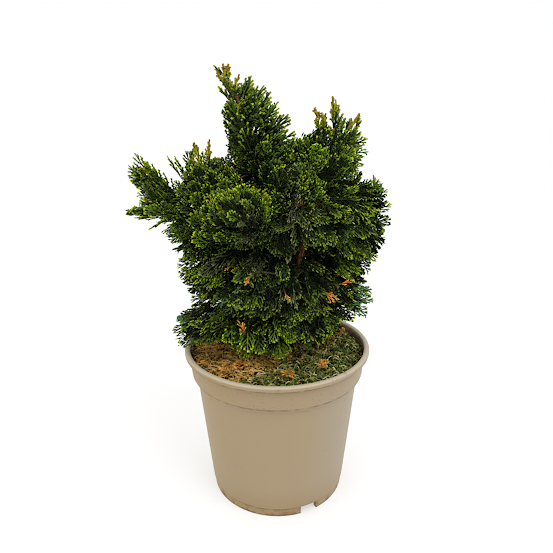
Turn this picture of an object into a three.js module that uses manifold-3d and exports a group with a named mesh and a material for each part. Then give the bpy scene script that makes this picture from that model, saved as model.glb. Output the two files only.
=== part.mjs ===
// A dwarf hinoki cypress in a round nursery pot, as a three.js scene graph of closed solids.
// Millimetres, +Z up. The origin is the centre of the pot's underside, the front of the plant faces -Y
// and +X is its right-hand side.
import * as THREE from "three";
import { mergeVertices } from "three/addons/utils/BufferGeometryUtils.js";
import Module from "manifold-3d";

const wasm = await Module();
wasm.setup();

// ---------------------------------------------------------------- driving dimensions

const POT = {
  height: 195,
  rimRadius: 115,
  rimHeight: 6.7, // the rolled lip, from its top to its underside
  rimWidth: 6.5, // the lip's top, from its outer edge to the mouth
  collarTopRadius: 109.2,
  collarFootRadius: 107.3,
  collarHeight: 32.3, // from the lip's top to the collar's lower corner
  shoulderHeight: 6, // the chamfer from the collar in to the body
  bodyTopRadius: 101.1,
  bodyFootRadius: 86.7,
  footHeight: 11,
  footRadius: 84.8,
  footWidth: 7,
  wall: 1.6,
  padRadius: 40, // the middle of the base, which comes down to the ground
  padSlope: 7,
  segments: 36,
};
const CORNER = 0.6; // how far the moulding's corners are eased
const NOTCHES = { count: 3, bearing: -63.5, width: 22, height: 10.6 }; // gaps in the foot ring
const DRAINS = { count: 6, radius: 4, ring: 62, sides: 6 };

// height is the soil's level at the stem, where it is flat out to seatRadius; fall is its drop at the wall
const SOIL = { height: 187.5, radius: 106.6, fall: 2.5, uneven: 1, seatRadius: 19, rings: 4 };

const GAP = 0.35; // running gap between solids that touch
const TRUNK = {
  footRadius: 9.5,
  tipRadius: 1.6,
  flare: 6, // extra radius of the root flare at the ground
  flareHeight: 18,
  sides: 8,
  steps: 10,
  // the centre line: up from below the soil's face with a slight sway, then leaning left to the leader
  path: [[0, 2, 182], [1, 2, 205], [5, 1, 250], [9, 4, 320], [-4, 2, 392], [-30, 0, 455], [-42, 0, 488]],
};
// tip is a bough's end radius as a share of its start's; inside is how far along its mass it ends
const BOUGH = { sides: 5, steps: 4, tip: 0.5, inside: 0.2 };

// Each mass of foliage runs from its root, where its bough enters, to its outermost tip.
// across is its half width, level and square to that line; over is its half height, square to both.
// taper narrows it towards the tip; a negative taper makes the tip the broad end.
const MASSES = [
  { name: "crown_top", root: [6, 2, 380], tip: [-46, 0, 497], across: 35, over: 35, taper: 0.05 },
  { name: "crown_leader", root: [-42, -1, 482], tip: [-63, -2, 521], across: 9, over: 9, taper: 0.2 },
  { name: "right_plume", root: [60, 8, 384], tip: [70, 12, 466], across: 37, over: 37, taper: 0.08 },
  { name: "right_leader_middle", root: [68, 10, 456], tip: [69, 10, 488], across: 5, over: 6, taper: 0.4 },
  { name: "right_leader_outer", root: [82, 12, 440], tip: [99, 12, 471], across: 5, over: 5, taper: 0.2 },
  { name: "right_leader_inner", root: [53, 10, 450], tip: [43, 10, 479], across: 5, over: 6, taper: 0.2 },
  { name: "right_shoulder", root: [46, 2, 356], tip: [130, -4, 376], across: 42, over: 31, taper: 0 },
  { name: "right_flank", root: [42, 0, 322], tip: [132, -8, 334], across: 42, over: 29, taper: 0 },
  { name: "right_waist", root: [30, 4, 286], tip: [110, -6, 290], across: 40, over: 24, taper: 0.1 },
  { name: "right_low_arm", root: [42, -2, 252], tip: [119, -6, 262], across: 32, over: 16, taper: 0.1 },
  { name: "right_skirt", root: [18, 0, 238], tip: [80, -6, 224], across: 44, over: 20, taper: 0 },
  { name: "left_dome", root: [-48, 4, 356], tip: [-101, 8, 410], across: 38, over: 34, taper: -0.05 },
  { name: "left_leader", root: [-88, 6, 404], tip: [-99, 6, 434], across: 8, over: 12, taper: 0.3 },
  { name: "left_arm", root: [-98, 0, 344], tip: [-166, 0, 418], across: 17, over: 18, taper: 0 },
  { name: "left_arm_low", root: [-110, -4, 358], tip: [-172, -6, 367], across: 13, over: 12, taper: 0.3 },
  { name: "left_shoulder", root: [-38, -2, 320], tip: [-128, -22, 338], across: 42, over: 34, taper: 0 },
  { name: "left_waist", root: [-28, -4, 284], tip: [-113, -12, 290], across: 42, over: 31, taper: 0.05 },
  { name: "left_skirt", root: [-28, -10, 234], tip: [-119, -14, 228], across: 42, over: 23, taper: 0.15 },
  { name: "front_upper", root: [14, -12, 374], tip: [22, -64, 404], across: 38, over: 30, taper: 0 },
  { name: "front_left", root: [-20, -22, 350], tip: [-58, -96, 384], across: 38, over: 34, taper: 0 },
  { name: "front_right", root: [20, -20, 346], tip: [44, -98, 358], across: 42, over: 31, taper: 0 },
  { name: "front_waist_left", root: [-18, -20, 270], tip: [-44, -88, 294], across: 38, over: 31, taper: 0 },
  { name: "front_waist_right", root: [20, -18, 278], tip: [58, -82, 290], across: 36, over: 30, taper: 0 },
  { name: "front_skirt", root: [-10, -16, 230], tip: [-18, -78, 224], across: 48, over: 24, taper: 0.1 },
  { name: "front_skirt_right", root: [18, -12, 240], tip: [54, -64, 230], across: 36, over: 24, taper: 0 },
  { name: "back_upper_left", root: [-22, 24, 352], tip: [-80, 84, 386], across: 44, over: 34, taper: 0 },
  { name: "back_upper_right", root: [30, 28, 356], tip: [76, 88, 388], across: 44, over: 35, taper: 0 },
  { name: "back_middle_left", root: [-28, 20, 294], tip: [-98, 84, 302], across: 44, over: 36, taper: 0 },
  { name: "back_middle_right", root: [30, 20, 298], tip: [96, 80, 306], across: 44, over: 36, taper: 0 },
  { name: "back_middle", root: [4, 24, 326], tip: [0, 118, 336], across: 44, over: 34, taper: 0 },
  { name: "back_waist", root: [0, 18, 270], tip: [0, 104, 262], across: 60, over: 32, taper: 0.1 },
  { name: "back_skirt", root: [0, 14, 232], tip: [0, 84, 224], across: 76, over: 24, taper: 0.1 },
];
// The shoots that swell a mass, each a rounded knob pointing its own way
const KNOBS = { count: 9, height: 0.34, sharpness: 9, rest: 0.13 };
const SLENDER = 50; // a mass shorter than this has fewer facets and no knobs

// Each bough leaves a limb at a share of its length and ends inside one mass; lift bows it upwards.
const BOUGHS = [
  { to: "right_plume", from: "trunk", at: 0.28, girth: 6, lift: -6 },
  { to: "left_dome", from: "trunk", at: 0.26, girth: 5.6, lift: -12 },
  { to: "right_shoulder", from: "bough_right_plume", at: 0.45, girth: 3.4, lift: 2 },
  { to: "right_waist", from: "trunk", at: 0.25, girth: 3.2, lift: 4 },
  { to: "right_skirt", from: "trunk", at: 0.11, girth: 2.8, lift: 5 },
  { to: "left_arm", from: "bough_left_dome", at: 0.62, girth: 3, lift: -4 },
  { to: "left_shoulder", from: "bough_left_dome", at: 0.3, girth: 3.4, lift: 3 },
  { to: "left_waist", from: "trunk", at: 0.22, girth: 3.2, lift: 5 },
  { to: "left_skirt", from: "trunk", at: 0.09, girth: 3, lift: 5 },
  { to: "front_left", from: "trunk", at: 0.42, girth: 3.4, lift: -2 },
  { to: "front_right", from: "trunk", at: 0.47, girth: 3.4, lift: 2 },
  { to: "front_waist_left", from: "trunk", at: 0.2, girth: 2.8, lift: 4 },
  { to: "front_skirt", from: "trunk", at: 0.1, girth: 2.8, lift: 4 },
  { to: "back_upper_left", from: "trunk", at: 0.46, girth: 3.6, lift: 0 },
  { to: "back_upper_right", from: "trunk", at: 0.5, girth: 3.6, lift: 0 },
  { to: "back_middle", from: "trunk", at: 0.38, girth: 3.4, lift: 2 },
  { to: "back_waist", from: "trunk", at: 0.2, girth: 3, lift: 3 },
  { to: "back_skirt", from: "trunk", at: 0.12, girth: 2.8, lift: 4 },
];

const COLOURS = {
  pot: 0xb09b7b,
  soil: 0x5d4a2a,
  bark: 0x5a3a28,
  foliage: 0x3c5a22,
  leader: 0x6f6a2c,
};

// ---------------------------------------------------------------- helpers

const UP = new THREE.Vector3(0, 0, 1);

/** A repeatable generator of numbers from 0 to 1, seeded by a name. */
function seeded(name) {
  let state = [...name].reduce((sum, letter) => (sum * 31 + letter.charCodeAt(0)) >>> 0, 7);
  return () => {
    state = (Math.imul(state, 1664525) + 1013904223) >>> 0;
    return state / 2 ** 32;
  };
}

/** A closed geometry as a solid that can be joined and cut. */
function solidOf(geometry) {
  const bare = geometry.clone();
  bare.deleteAttribute("normal");
  bare.deleteAttribute("uv");
  const merged = mergeVertices(bare, 1e-3);
  return new wasm.Manifold(
    new wasm.Mesh({
      numProp: 3,
      vertProperties: merged.attributes.position.array,
      triVerts: new Uint32Array(merged.index.array),
    }),
  );
}

/** A solid as a geometry again. */
function geometryOf(solid) {
  const mesh = solid.getMesh();
  const geometry = new THREE.BufferGeometry();
  geometry.setAttribute("position", new THREE.BufferAttribute(mesh.vertProperties, 3));
  geometry.setIndex(new THREE.BufferAttribute(mesh.triVerts, 1));
  geometry.computeVertexNormals();
  return geometry;
}

/** The largest body of a solid: a cut can leave slivers beside it. */
function largest(solid) {
  return solid.decompose().reduce((best, body) => (body.volume() > best.volume() ? body : best));
}

/** Moves every vertex of a geometry by a function of its place. */
function reshape(geometry, move) {
  const position = geometry.attributes.position;
  const point = new THREE.Vector3();
  for (let i = 0; i < position.count; i++) {
    point.fromBufferAttribute(position, i);
    move(point);
    position.setXYZ(i, point.x, point.y, point.z);
  }
  return geometry;
}

/** A profile of [radius, height] pairs turned about +Z. */
function turned(profile, segments) {
  const points = profile.map(([radius, height]) => new THREE.Vector2(radius, height));
  return new THREE.LatheGeometry(points, segments).rotateX(Math.PI / 2);
}

// ---------------------------------------------------------------- pot and soil

/** The pot's wall, base and rolled rim as one profile, with its inside face last. */
function potProfile() {
  const { height, rimRadius, rimHeight, rimWidth, wall, footHeight, footWidth } = POT;
  const mouth = rimRadius - rimWidth;
  const collarFoot = height - POT.collarHeight;
  const bodyTop = collarFoot - POT.shoulderHeight;
  const floor = footHeight + wall;
  return [
    [0, 0],
    [POT.padRadius, 0],
    [POT.padRadius + POT.padSlope, footHeight],
    [POT.footRadius - footWidth, footHeight],
    [POT.footRadius - footWidth + 1, 0],
    [POT.footRadius - 0.6, 0],
    [POT.footRadius + 0.3, footHeight - 1.2],
    [POT.bodyFootRadius, footHeight + 0.4],
    [POT.bodyTopRadius, bodyTop],
    [POT.collarFootRadius, collarFoot],
    [POT.collarTopRadius, height - rimHeight + CORNER],
    [rimRadius - 1.4, height - rimHeight],
    [rimRadius, height - rimHeight + 1.6],
    [rimRadius, height - 2.2],
    [rimRadius - 2.6, height],
    [mouth + 1, height - 0.2],
    [mouth, height - 1.4],
    [POT.collarFootRadius - wall, collarFoot + CORNER],
    [POT.bodyTopRadius - wall, bodyTop - CORNER],
    [POT.bodyFootRadius - wall, floor],
    [POT.padRadius + POT.padSlope - wall, floor],
    [POT.padRadius - wall, wall],
    [0, wall],
  ];
}

function makePot() {
  let pot = solidOf(turned(potProfile(), POT.segments));
  for (let i = 0; i < NOTCHES.count; i++) {
    const notch = new THREE.BoxGeometry(POT.footWidth * 3, NOTCHES.width, NOTCHES.height * 2);
    notch.translate(POT.footRadius - POT.footWidth / 2, 0, 0);
    notch.rotateZ(THREE.MathUtils.degToRad(NOTCHES.bearing + (i * 360) / NOTCHES.count));
    pot = pot.subtract(solidOf(notch));
  }
  for (let i = 0; i < DRAINS.count; i++) {
    const drain = new THREE.CylinderGeometry(DRAINS.radius, DRAINS.radius, POT.footHeight, DRAINS.sides);
    drain.rotateX(Math.PI / 2).translate(DRAINS.ring, 0, POT.footHeight);
    drain.rotateZ(THREE.MathUtils.degToRad(((i + 0.5) * 360) / DRAINS.count));
    pot = pot.subtract(solidOf(drain));
  }
  return pot;
}

/** How far the soil's face lies above or below its height at the stem: lumps, and a fall towards the wall. */
function soilLift(x, y) {
  const reach = Math.hypot(x, y);
  const clearOfStem = THREE.MathUtils.smoothstep(reach, SOIL.seatRadius, SOIL.seatRadius * 2);
  const lumps = Math.sin(x / 14 + 1.3) * Math.cos(y / 16 - 0.4) + 0.6 * Math.sin(x / 8 - y / 9);
  const fall = SOIL.fall * (reach / POT.collarTopRadius) ** 2;
  return clearOfStem * (SOIL.uneven * lumps - fall);
}

function makeSoil() {
  const inset = POT.wall + GAP;
  const collarFoot = POT.height - POT.collarHeight;
  const bodyTop = collarFoot - POT.shoulderHeight;
  const floor = POT.footHeight + inset;
  const profile = [
    [0, inset],
    [POT.padRadius - inset, inset],
    [POT.padRadius + POT.padSlope - inset, floor],
    [POT.bodyFootRadius - inset, floor],
    [POT.bodyTopRadius - inset, bodyTop],
    [POT.collarFootRadius - inset, collarFoot + CORNER * 2],
  ];
  for (let ring = SOIL.rings; ring >= 0; ring--) {
    profile.push([(SOIL.radius * ring) / SOIL.rings, SOIL.height]);
  }
  return solidOf(
    reshape(turned(profile, POT.segments / 2), (p) => {
      if (p.z > SOIL.height - GAP) p.z += soilLift(p.x, p.y);
    }),
  );
}

// ---------------------------------------------------------------- trunk and boughs

/**
 * A round limb along a curve. radiusAt gives its radius from the share of its length and the angle round it;
 * extra grows it on every side and past both ends.
 */
function limbGeometry(curve, radiusAt, { sides, steps }, extra) {
  const frames = curve.computeFrenetFrames(steps, false);
  return reshape(new THREE.CylinderGeometry(1, 1, 1, sides, steps), (p) => {
    const along = 0.5 - p.y;
    const step = Math.round(along * steps);
    const angle = Math.atan2(p.z, p.x);
    const reach = Math.hypot(p.x, p.z) * (radiusAt(along, angle) + extra);
    const overrun = { 0: -extra, [steps]: extra }[step] ?? 0;
    p.copy(curve.getPointAt(along));
    p.addScaledVector(frames.tangents[step], overrun);
    p.addScaledVector(frames.normals[step], reach * Math.cos(angle));
    p.addScaledVector(frames.binormals[step], reach * Math.sin(angle));
  });
}

/** A limb as a record: its curve, its solid, and a second solid that has the running gap round it. */
function limbRecord(curve, radiusAt, facets) {
  const grown = (extra) => solidOf(limbGeometry(curve, radiusAt, facets, extra));
  return { curve, solid: grown(0), clear: grown(GAP) };
}

function makeTrunk() {
  const curve = new THREE.CatmullRomCurve3(TRUNK.path.map((p) => new THREE.Vector3(...p)));
  const length = curve.getLength();
  const radiusAt = (along, angle) => {
    const ground = Math.max(0, 1 - (along * length) / TRUNK.flareHeight);
    const flare = TRUNK.flare * ground ** 2 * (1 + 0.35 * Math.sin(angle * 3 + 1));
    return THREE.MathUtils.lerp(TRUNK.footRadius, TRUNK.tipRadius, along ** 0.72) + flare;
  };
  const trunk = limbRecord(curve, radiusAt, TRUNK);
  const block = SOIL.height + GAP;
  const ground = new THREE.BoxGeometry(block, block, block).translate(0, 0, block / 2);
  return { ...trunk, solid: trunk.solid.subtract(solidOf(ground)) };
}

function makeBough({ from, at, to, girth, lift }, limbs) {
  const mass = MASSES.find((m) => m.name === to);
  const start = limbs[from].curve.getPointAt(at);
  const root = new THREE.Vector3(...mass.root);
  const end = root.clone().lerp(new THREE.Vector3(...mass.tip), BOUGH.inside);
  const middle = start.clone().lerp(root, 0.5).addScaledVector(UP, lift);
  const curve = new THREE.CatmullRomCurve3([start, middle, root, end]);
  const radiusAt = (along) => girth * THREE.MathUtils.lerp(1, BOUGH.tip, along);
  return limbRecord(curve, radiusAt, BOUGH);
}

// ---------------------------------------------------------------- foliage masses

/** The place of a mass: its centre, and its axes and half sizes in the order along, across and over. */
function placeOf({ root, tip, across, over }) {
  const foot = new THREE.Vector3(...root);
  const along = new THREE.Vector3(...tip).sub(foot);
  const half = along.length() / 2;
  const centre = foot.addScaledVector(along, 0.5);
  along.normalize();
  const side = new THREE.Vector3().crossVectors(UP, along).normalize();
  const rise = new THREE.Vector3().crossVectors(along, side);
  return { centre, axes: [along, side, rise], halves: [half, across, over], slender: 2 * half < SLENDER };
}

/** The knobs of a mass: directions on its own unit sphere, more of them towards its tip. */
function knobsOf(name) {
  const random = seeded(name);
  return Array.from({ length: KNOBS.count }, () => {
    const towards = new THREE.Vector3(random() * 1.6 - 0.6, random() * 2 - 1, random() * 2 - 1).normalize();
    return { towards, height: KNOBS.height * (0.5 + random()) };
  });
}

/** A mass's form: a ball swollen by its knobs, narrowed along its length, and stretched to its half sizes. */
function massGeometry({ name, taper, centre, axes, halves, slender }, extra) {
  const knobs = slender ? [] : knobsOf(name);
  const rest = slender ? 1 : 1 - KNOBS.rest;
  const ball = slender ? new THREE.IcosahedronGeometry(1, 1) : new THREE.OctahedronGeometry(1, 3);
  return reshape(ball, (p) => {
    const bump = (knob) => knob.height * Math.exp(KNOBS.sharpness * (p.dot(knob.towards) - 1));
    const swell = rest + knobs.reduce((sum, knob) => sum + bump(knob), 0);
    const narrow = swell * (1 - taper * p.x);
    const outward = p.toArray();
    const shares = [p.x * THREE.MathUtils.lerp(1, swell, 0.5), p.y * narrow, p.z * narrow];
    p.copy(centre);
    axes.forEach((axis, i) => p.addScaledVector(axis, shares[i] * halves[i] + outward[i] * extra));
  });
}

/** A mass as a record: its place, its solid, and a second solid that has the running gap round it. */
function massRecord(mass) {
  const placed = { ...mass, ...placeOf(mass) };
  const grown = (extra) => solidOf(massGeometry(placed, extra));
  return { ...placed, solid: grown(0), clear: grown(GAP), cuts: [] };
}

/** Which way, and how fast, a point moves out of a mass: the slope of its ellipsoid there. */
function slopeAt({ centre, axes, halves }, point) {
  const from = point.clone().sub(centre);
  const slope = new THREE.Vector3();
  axes.forEach((axis, i) => slope.addScaledVector(axis, from.dot(axis) / halves[i] ** 2));
  return slope;
}

/** Notes on two broad masses that overlap the flat cut that parts them, in the middle of what they share. */
function partMasses(one, other) {
  const shared = one.clear.intersect(other.clear);
  if (shared.isEmpty()) return;
  const { min, max } = shared.boundingBox();
  const middle = new THREE.Vector3(...min).lerp(new THREE.Vector3(...max), 0.5);
  const normal = slopeAt(one, middle).sub(slopeAt(other, middle)).normalize();
  const reach = middle.dot(normal);
  one.cuts.push([normal.clone().negate().toArray(), GAP / 2 - reach]);
  other.cuts.push([normal.toArray(), reach + GAP / 2]);
}

/** Every mass, parted from its neighbours and cut round the limbs. */
function makeMasses(limbs) {
  const masses = MASSES.map(massRecord);
  const broad = masses.filter((mass) => !mass.slender);
  broad.forEach((one, i) => broad.slice(i + 1).forEach((other) => partMasses(one, other)));
  const limbRoom = Object.values(limbs).map((limb) => limb.clear);
  return masses.map((mass) => {
    const neighbours = mass.slender ? masses.filter((other) => other !== mass) : [];
    const room = [...limbRoom, ...neighbours.map((other) => other.clear)];
    const parted = mass.cuts.reduce((solid, [normal, reach]) => solid.trimByPlane(normal, reach), mass.solid);
    return { ...mass, solid: largest(room.reduce((solid, other) => solid.subtract(other), parted)) };
  });
}

// ---------------------------------------------------------------- assembly

const materialOf = (color, roughness) => new THREE.MeshStandardMaterial({ color, roughness, metalness: 0 });
const materials = {
  pot: materialOf(COLOURS.pot, 0.55),
  soil: materialOf(COLOURS.soil, 0.95),
  bark: materialOf(COLOURS.bark, 0.85),
  foliage: materialOf(COLOURS.foliage, 0.6),
  leader: materialOf(COLOURS.leader, 0.6),
};

const plant = new THREE.Group();

function add(name, solid, material) {
  const mesh = new THREE.Mesh(geometryOf(solid), material);
  mesh.name = name;
  plant.add(mesh);
}

add("pot", makePot(), materials.pot);
add("soil", makeSoil(), materials.soil);

const limbs = { trunk: makeTrunk() };
add("trunk", limbs.trunk.solid, materials.bark);
for (const bough of BOUGHS) {
  const made = makeBough(bough, limbs);
  const cut = Object.values(limbs).reduce((solid, other) => solid.subtract(other.clear), made.solid);
  const name = "bough_" + bough.to;
  limbs[name] = made;
  add(name, largest(cut), materials.bark);
}

for (const { name, solid } of makeMasses(limbs)) {
  add("foliage_" + name, solid, name.includes("leader") ? materials.leader : materials.foliage);
}

export default plant;
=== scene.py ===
"""Looks of a dwarf hinoki cypress in a round nursery pot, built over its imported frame.

The shapes are worked out in millimetres, +Z up, with the pot's underside at the origin and the front of the
plant facing -Y. They are turned into metres when a mesh is made.
"""

import functools
import logging
import math
from collections.abc import Callable, Mapping, Sequence
from dataclasses import dataclass
from enum import Enum
from typing import ClassVar

import bpy
import numpy as np
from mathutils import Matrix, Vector
from mathutils.bvhtree import BVHTree


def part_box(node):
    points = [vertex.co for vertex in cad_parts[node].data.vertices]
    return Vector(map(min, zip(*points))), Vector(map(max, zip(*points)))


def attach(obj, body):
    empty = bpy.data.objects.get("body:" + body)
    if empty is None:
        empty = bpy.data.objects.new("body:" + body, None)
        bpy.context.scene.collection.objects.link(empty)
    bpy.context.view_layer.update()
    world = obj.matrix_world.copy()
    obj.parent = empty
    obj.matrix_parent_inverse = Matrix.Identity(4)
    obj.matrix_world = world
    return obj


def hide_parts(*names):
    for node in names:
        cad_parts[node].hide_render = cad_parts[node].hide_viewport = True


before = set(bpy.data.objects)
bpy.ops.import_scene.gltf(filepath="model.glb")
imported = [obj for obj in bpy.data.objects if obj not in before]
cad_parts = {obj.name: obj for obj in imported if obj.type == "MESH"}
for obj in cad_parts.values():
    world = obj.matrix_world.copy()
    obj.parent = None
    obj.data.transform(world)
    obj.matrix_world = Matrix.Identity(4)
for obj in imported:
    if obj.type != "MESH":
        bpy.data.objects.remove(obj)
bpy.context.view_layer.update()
LOG = logging.getLogger("potted cypress")
MM = 0.001
BODY = "root"
SOIL_HEIGHT = 187.5
FULL_TURN = 2.0 * math.pi
Array = np.ndarray
Rng = np.random.Generator
Colour = tuple[float, float, float]
Place = tuple[float, float, float]
Outside = Callable[[Array], Array]


# ---------------------------------------------------------------- small maths


def unit(vectors: Array) -> Array:
    """Gives vectors their unit length, along the last axis."""
    return vectors / np.maximum(np.linalg.norm(vectors, axis=-1, keepdims=True), 1e-12)


def square_to(vectors: Array, axes: Array) -> Array:
    """Takes from each vector its share along the unit axis, and gives the rest unit length."""
    return unit(vectors - np.sum(vectors * axes, axis=-1, keepdims=True) * axes)


def curved(start: Array, knee: Array, end: Array, stations: int) -> Array:
    """Lines from start to end that bend towards the knee: (1-t)^2 start + 2t(1-t) knee + t^2 end.

    Args:
        start: Where each begins.
        knee: What each bends towards.
        end: Where each ends.
        stations: Points on each line.

    Returns:
        The lines, lines by stations by the coordinates.
    """
    share = np.linspace(0.0, 1.0, stations)[None, :, None]
    start, knee, end = start[:, None], knee[:, None], end[:, None]
    return (1 - share) ** 2 * start + 2 * share * (1 - share) * knee + share**2 * end


def round_angles(count: int) -> Array:
    """Even angles once round, from 0."""
    return 2.0 * np.pi * np.arange(count) / count


def taper(first: float, last: float, count: int, stations: int) -> Array:
    """The radii of tubes that narrow evenly from the first to the last, tubes by stations."""
    return np.broadcast_to(np.linspace(first, last, stations), (count, stations))


def stations_of(points: Array, at: Array, wanted: Array) -> Array:
    """The points of a line at the wanted places, where each of its own points lies at its place."""
    return np.stack([np.interp(wanted, at, points[:, i]) for i in range(3)], axis=-1)


def smooth_step(values: Array, low: float, high: float) -> Array:
    """Rises from 0 at low to 1 at high with flat ends."""
    share = np.clip((values - low) / (high - low), 0.0, 1.0)
    return share * share * (3.0 - 2.0 * share)


def linear(red: float, green: float, blue: float) -> tuple[float, float, float, float]:
    """Turns a display colour of 0 to 255 into the linear colour that a shader takes."""
    shares = [channel / 255.0 for channel in (red, green, blue)]
    low = [share / 12.92 for share in shares]
    high = [((share + 0.055) / 1.055) ** 2.4 for share in shares]
    mixed = [a if share <= 0.04045 else b for share, a, b in zip(shares, low, high)]
    return (mixed[0], mixed[1], mixed[2], 1.0)


# ---------------------------------------------------------------- shader maths


class Value:
    """A shader socket on which arithmetic adds Math nodes."""

    def __init__(self, graph: "Graph", socket: bpy.types.NodeSocket) -> None:
        """Keeps the socket and the graph that it belongs to."""
        self.graph = graph
        self.socket = socket

    def __add__(self, other: "Value | float") -> "Value":
        """Adds."""
        return self.graph.math("ADD", self, other)

    def __radd__(self, other: float) -> "Value":
        """Adds, with the number in front."""
        return self.graph.math("ADD", other, self)

    def __rsub__(self, other: float) -> "Value":
        """Subtracts from the number in front."""
        return self.graph.math("SUBTRACT", other, self)

    def __mul__(self, other: "Value | float") -> "Value":
        """Multiplies."""
        return self.graph.math("MULTIPLY", self, other)

    def band(self, low: float, high: float) -> "Value":
        """Rises from 0 at low to 1 at high with flat ends; low may be the greater."""
        settings = {"interpolation_type": "SMOOTHSTEP", "clamp": True}
        if low < high:
            return self.graph.node("ShaderNodeMapRange", settings, {"Value": self, 1: low, 2: high})
        return 1.0 - self.graph.node("ShaderNodeMapRange", settings, {"Value": self, 1: high, 2: low})


class Graph:
    """One material's nodes."""

    def __init__(self, name: str) -> None:
        """Starts an empty material with its output node."""
        self.material = bpy.data.materials.new(name)
        self.material.use_nodes = True
        self.tree = self.material.node_tree
        self.tree.nodes.clear()
        self.output = self.tree.nodes.new("ShaderNodeOutputMaterial")

    def node(
        self,
        kind: str,
        settings: Mapping[str, object],
        inputs: Mapping[str | int, object],
        output: str | int = 0,
    ) -> Value:
        """Adds one node.

        Args:
            kind: The node's type.
            settings: Its own properties, set before its sockets.
            inputs: A number, colour or Value for each named or numbered input socket.
            output: The output that is wanted.

        Returns:
            The output as a Value.
        """
        made = self.tree.nodes.new(kind)
        for key, setting in settings.items():
            setattr(made, key, setting)
        for key, given in inputs.items():
            if isinstance(given, Value):
                self.tree.links.new(given.socket, made.inputs[key])
            else:
                made.inputs[key].default_value = given
        return Value(self, made.outputs[output])

    def math(self, operation: str, first: Value | float, second: Value | float) -> Value:
        """Adds a Math node on two values."""
        return self.node("ShaderNodeMath", {"operation": operation}, {0: first, 1: second})

    def mix(self, factor: Value | float, first: object, second: object) -> Value:
        """Mixes two colours: the first where factor is 0 and the second where it is 1."""
        settings = {"data_type": "RGBA", "clamp_factor": True}
        return self.node("ShaderNodeMix", settings, {0: factor, 6: first, 7: second}, 2)

    def place(self, scale: Sequence[float] = (1.0, 1.0, 1.0)) -> Value:
        """The point on the object in metres, with each direction stretched by its scale."""
        point = self.node("ShaderNodeTexCoord", {}, {}, "Object")
        return self.node("ShaderNodeMapping", {}, {"Vector": point, "Scale": tuple(scale)})

    def along(self, axis: int) -> Value:
        """One coordinate of the point on the object, in millimetres."""
        point = self.node("ShaderNodeTexCoord", {}, {}, "Object")
        return self.node("ShaderNodeSeparateXYZ", {}, {0: point}, axis) * (1.0 / MM)

    def noise(self, scale: float, detail: float = 3.0, stretch: Sequence[float] = (1.0, 1.0, 1.0)) -> Value:
        """Cloudy noise of about 0.3 to 0.7; scale is its lumps per metre."""
        inputs = {"Vector": self.place(stretch), "Scale": scale, "Detail": detail, "Roughness": 0.55}
        return self.node("ShaderNodeTexNoise", {}, inputs)

    def specks(self, scale: float, size: float) -> Value:
        """Round specks, 1 at their middles; size is their reach as a share of their spacing."""
        inputs = {"Vector": self.place(), "Scale": scale, "Randomness": 1.0}
        return self.node("ShaderNodeTexVoronoi", {"feature": "F1"}, inputs, "Distance").band(size, size * 0.4)

    def finish(
        self,
        colour: Value,
        roughness: Value | float,
        height: Value | None = None,
        depth: float = 0.0,
        **others: Value | float,
    ) -> bpy.types.Material:
        """Ends the graph in one Principled surface.

        Args:
            colour: The base colour.
            roughness: The roughness, the same all over or varying.
            height: Relief from 0 to 1, if any.
            depth: The relief's depth in metres.
            others: What other sockets take, by name with underscores for spaces.

        Returns:
            The finished material.
        """
        inputs: dict[str | int, object] = {"Base Color": colour, "Roughness": roughness}
        inputs.update({key.replace("_", " "): given for key, given in others.items()})
        if height is not None:
            relief = {"Strength": 1.0, "Distance": depth, "Height": height}
            inputs["Normal"] = self.node("ShaderNodeBump", {}, relief, "Normal")
        surface = self.node("ShaderNodeBsdfPrincipled", {}, inputs)
        self.tree.links.new(surface.socket, self.output.inputs["Surface"])
        return self.material


# ---------------------------------------------------------------- finishes


@dataclass(frozen=True)
class LeafFinish:
    """Scale leaves of one tone: a plain colour with a slight unevenness and a waxy, half matt face."""

    name: str
    colour: Colour
    gloss: float = 0.1
    spread: float = 0.22

    def material(self) -> bpy.types.Material:
        """Makes the material."""
        graph = Graph(self.name)
        colour = linear(*self.colour)
        dark = tuple(channel * (1.0 - self.spread) for channel in colour[:3]) + (1.0,)
        light = tuple(channel * (1.0 + self.spread) for channel in colour[:3]) + (1.0,)
        patches = graph.noise(160.0, 2.0).band(0.35, 0.65)
        roughness = 0.5 + graph.noise(900.0, 1.0) * 0.16
        return graph.finish(graph.mix(patches, dark, light), roughness, Specular_IOR_Level=self.gloss)


@dataclass(frozen=True)
class BarkFinish:
    """Fibrous bark: reddish brown strips with greyer ridges, drawn out along the limb."""

    name: str
    furrow: Colour = (46, 28, 20)
    strip: Colour = (112, 70, 46)
    ridge: Colour = (138, 112, 90)

    def material(self) -> bpy.types.Material:
        """Makes the material."""
        graph = Graph(self.name)
        fibres = graph.noise(420.0, 5.0, (1.0, 1.0, 0.16))
        patches = graph.noise(70.0, 3.0)
        strips = graph.mix(fibres.band(0.36, 0.56), linear(*self.furrow), linear(*self.strip))
        colour = graph.mix(patches.band(0.5, 0.66) * fibres.band(0.45, 0.65), strips, linear(*self.ridge))
        return graph.finish(colour, 0.78 + patches * 0.2, fibres, 0.0012, Specular_IOR_Level=0.2)


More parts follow.
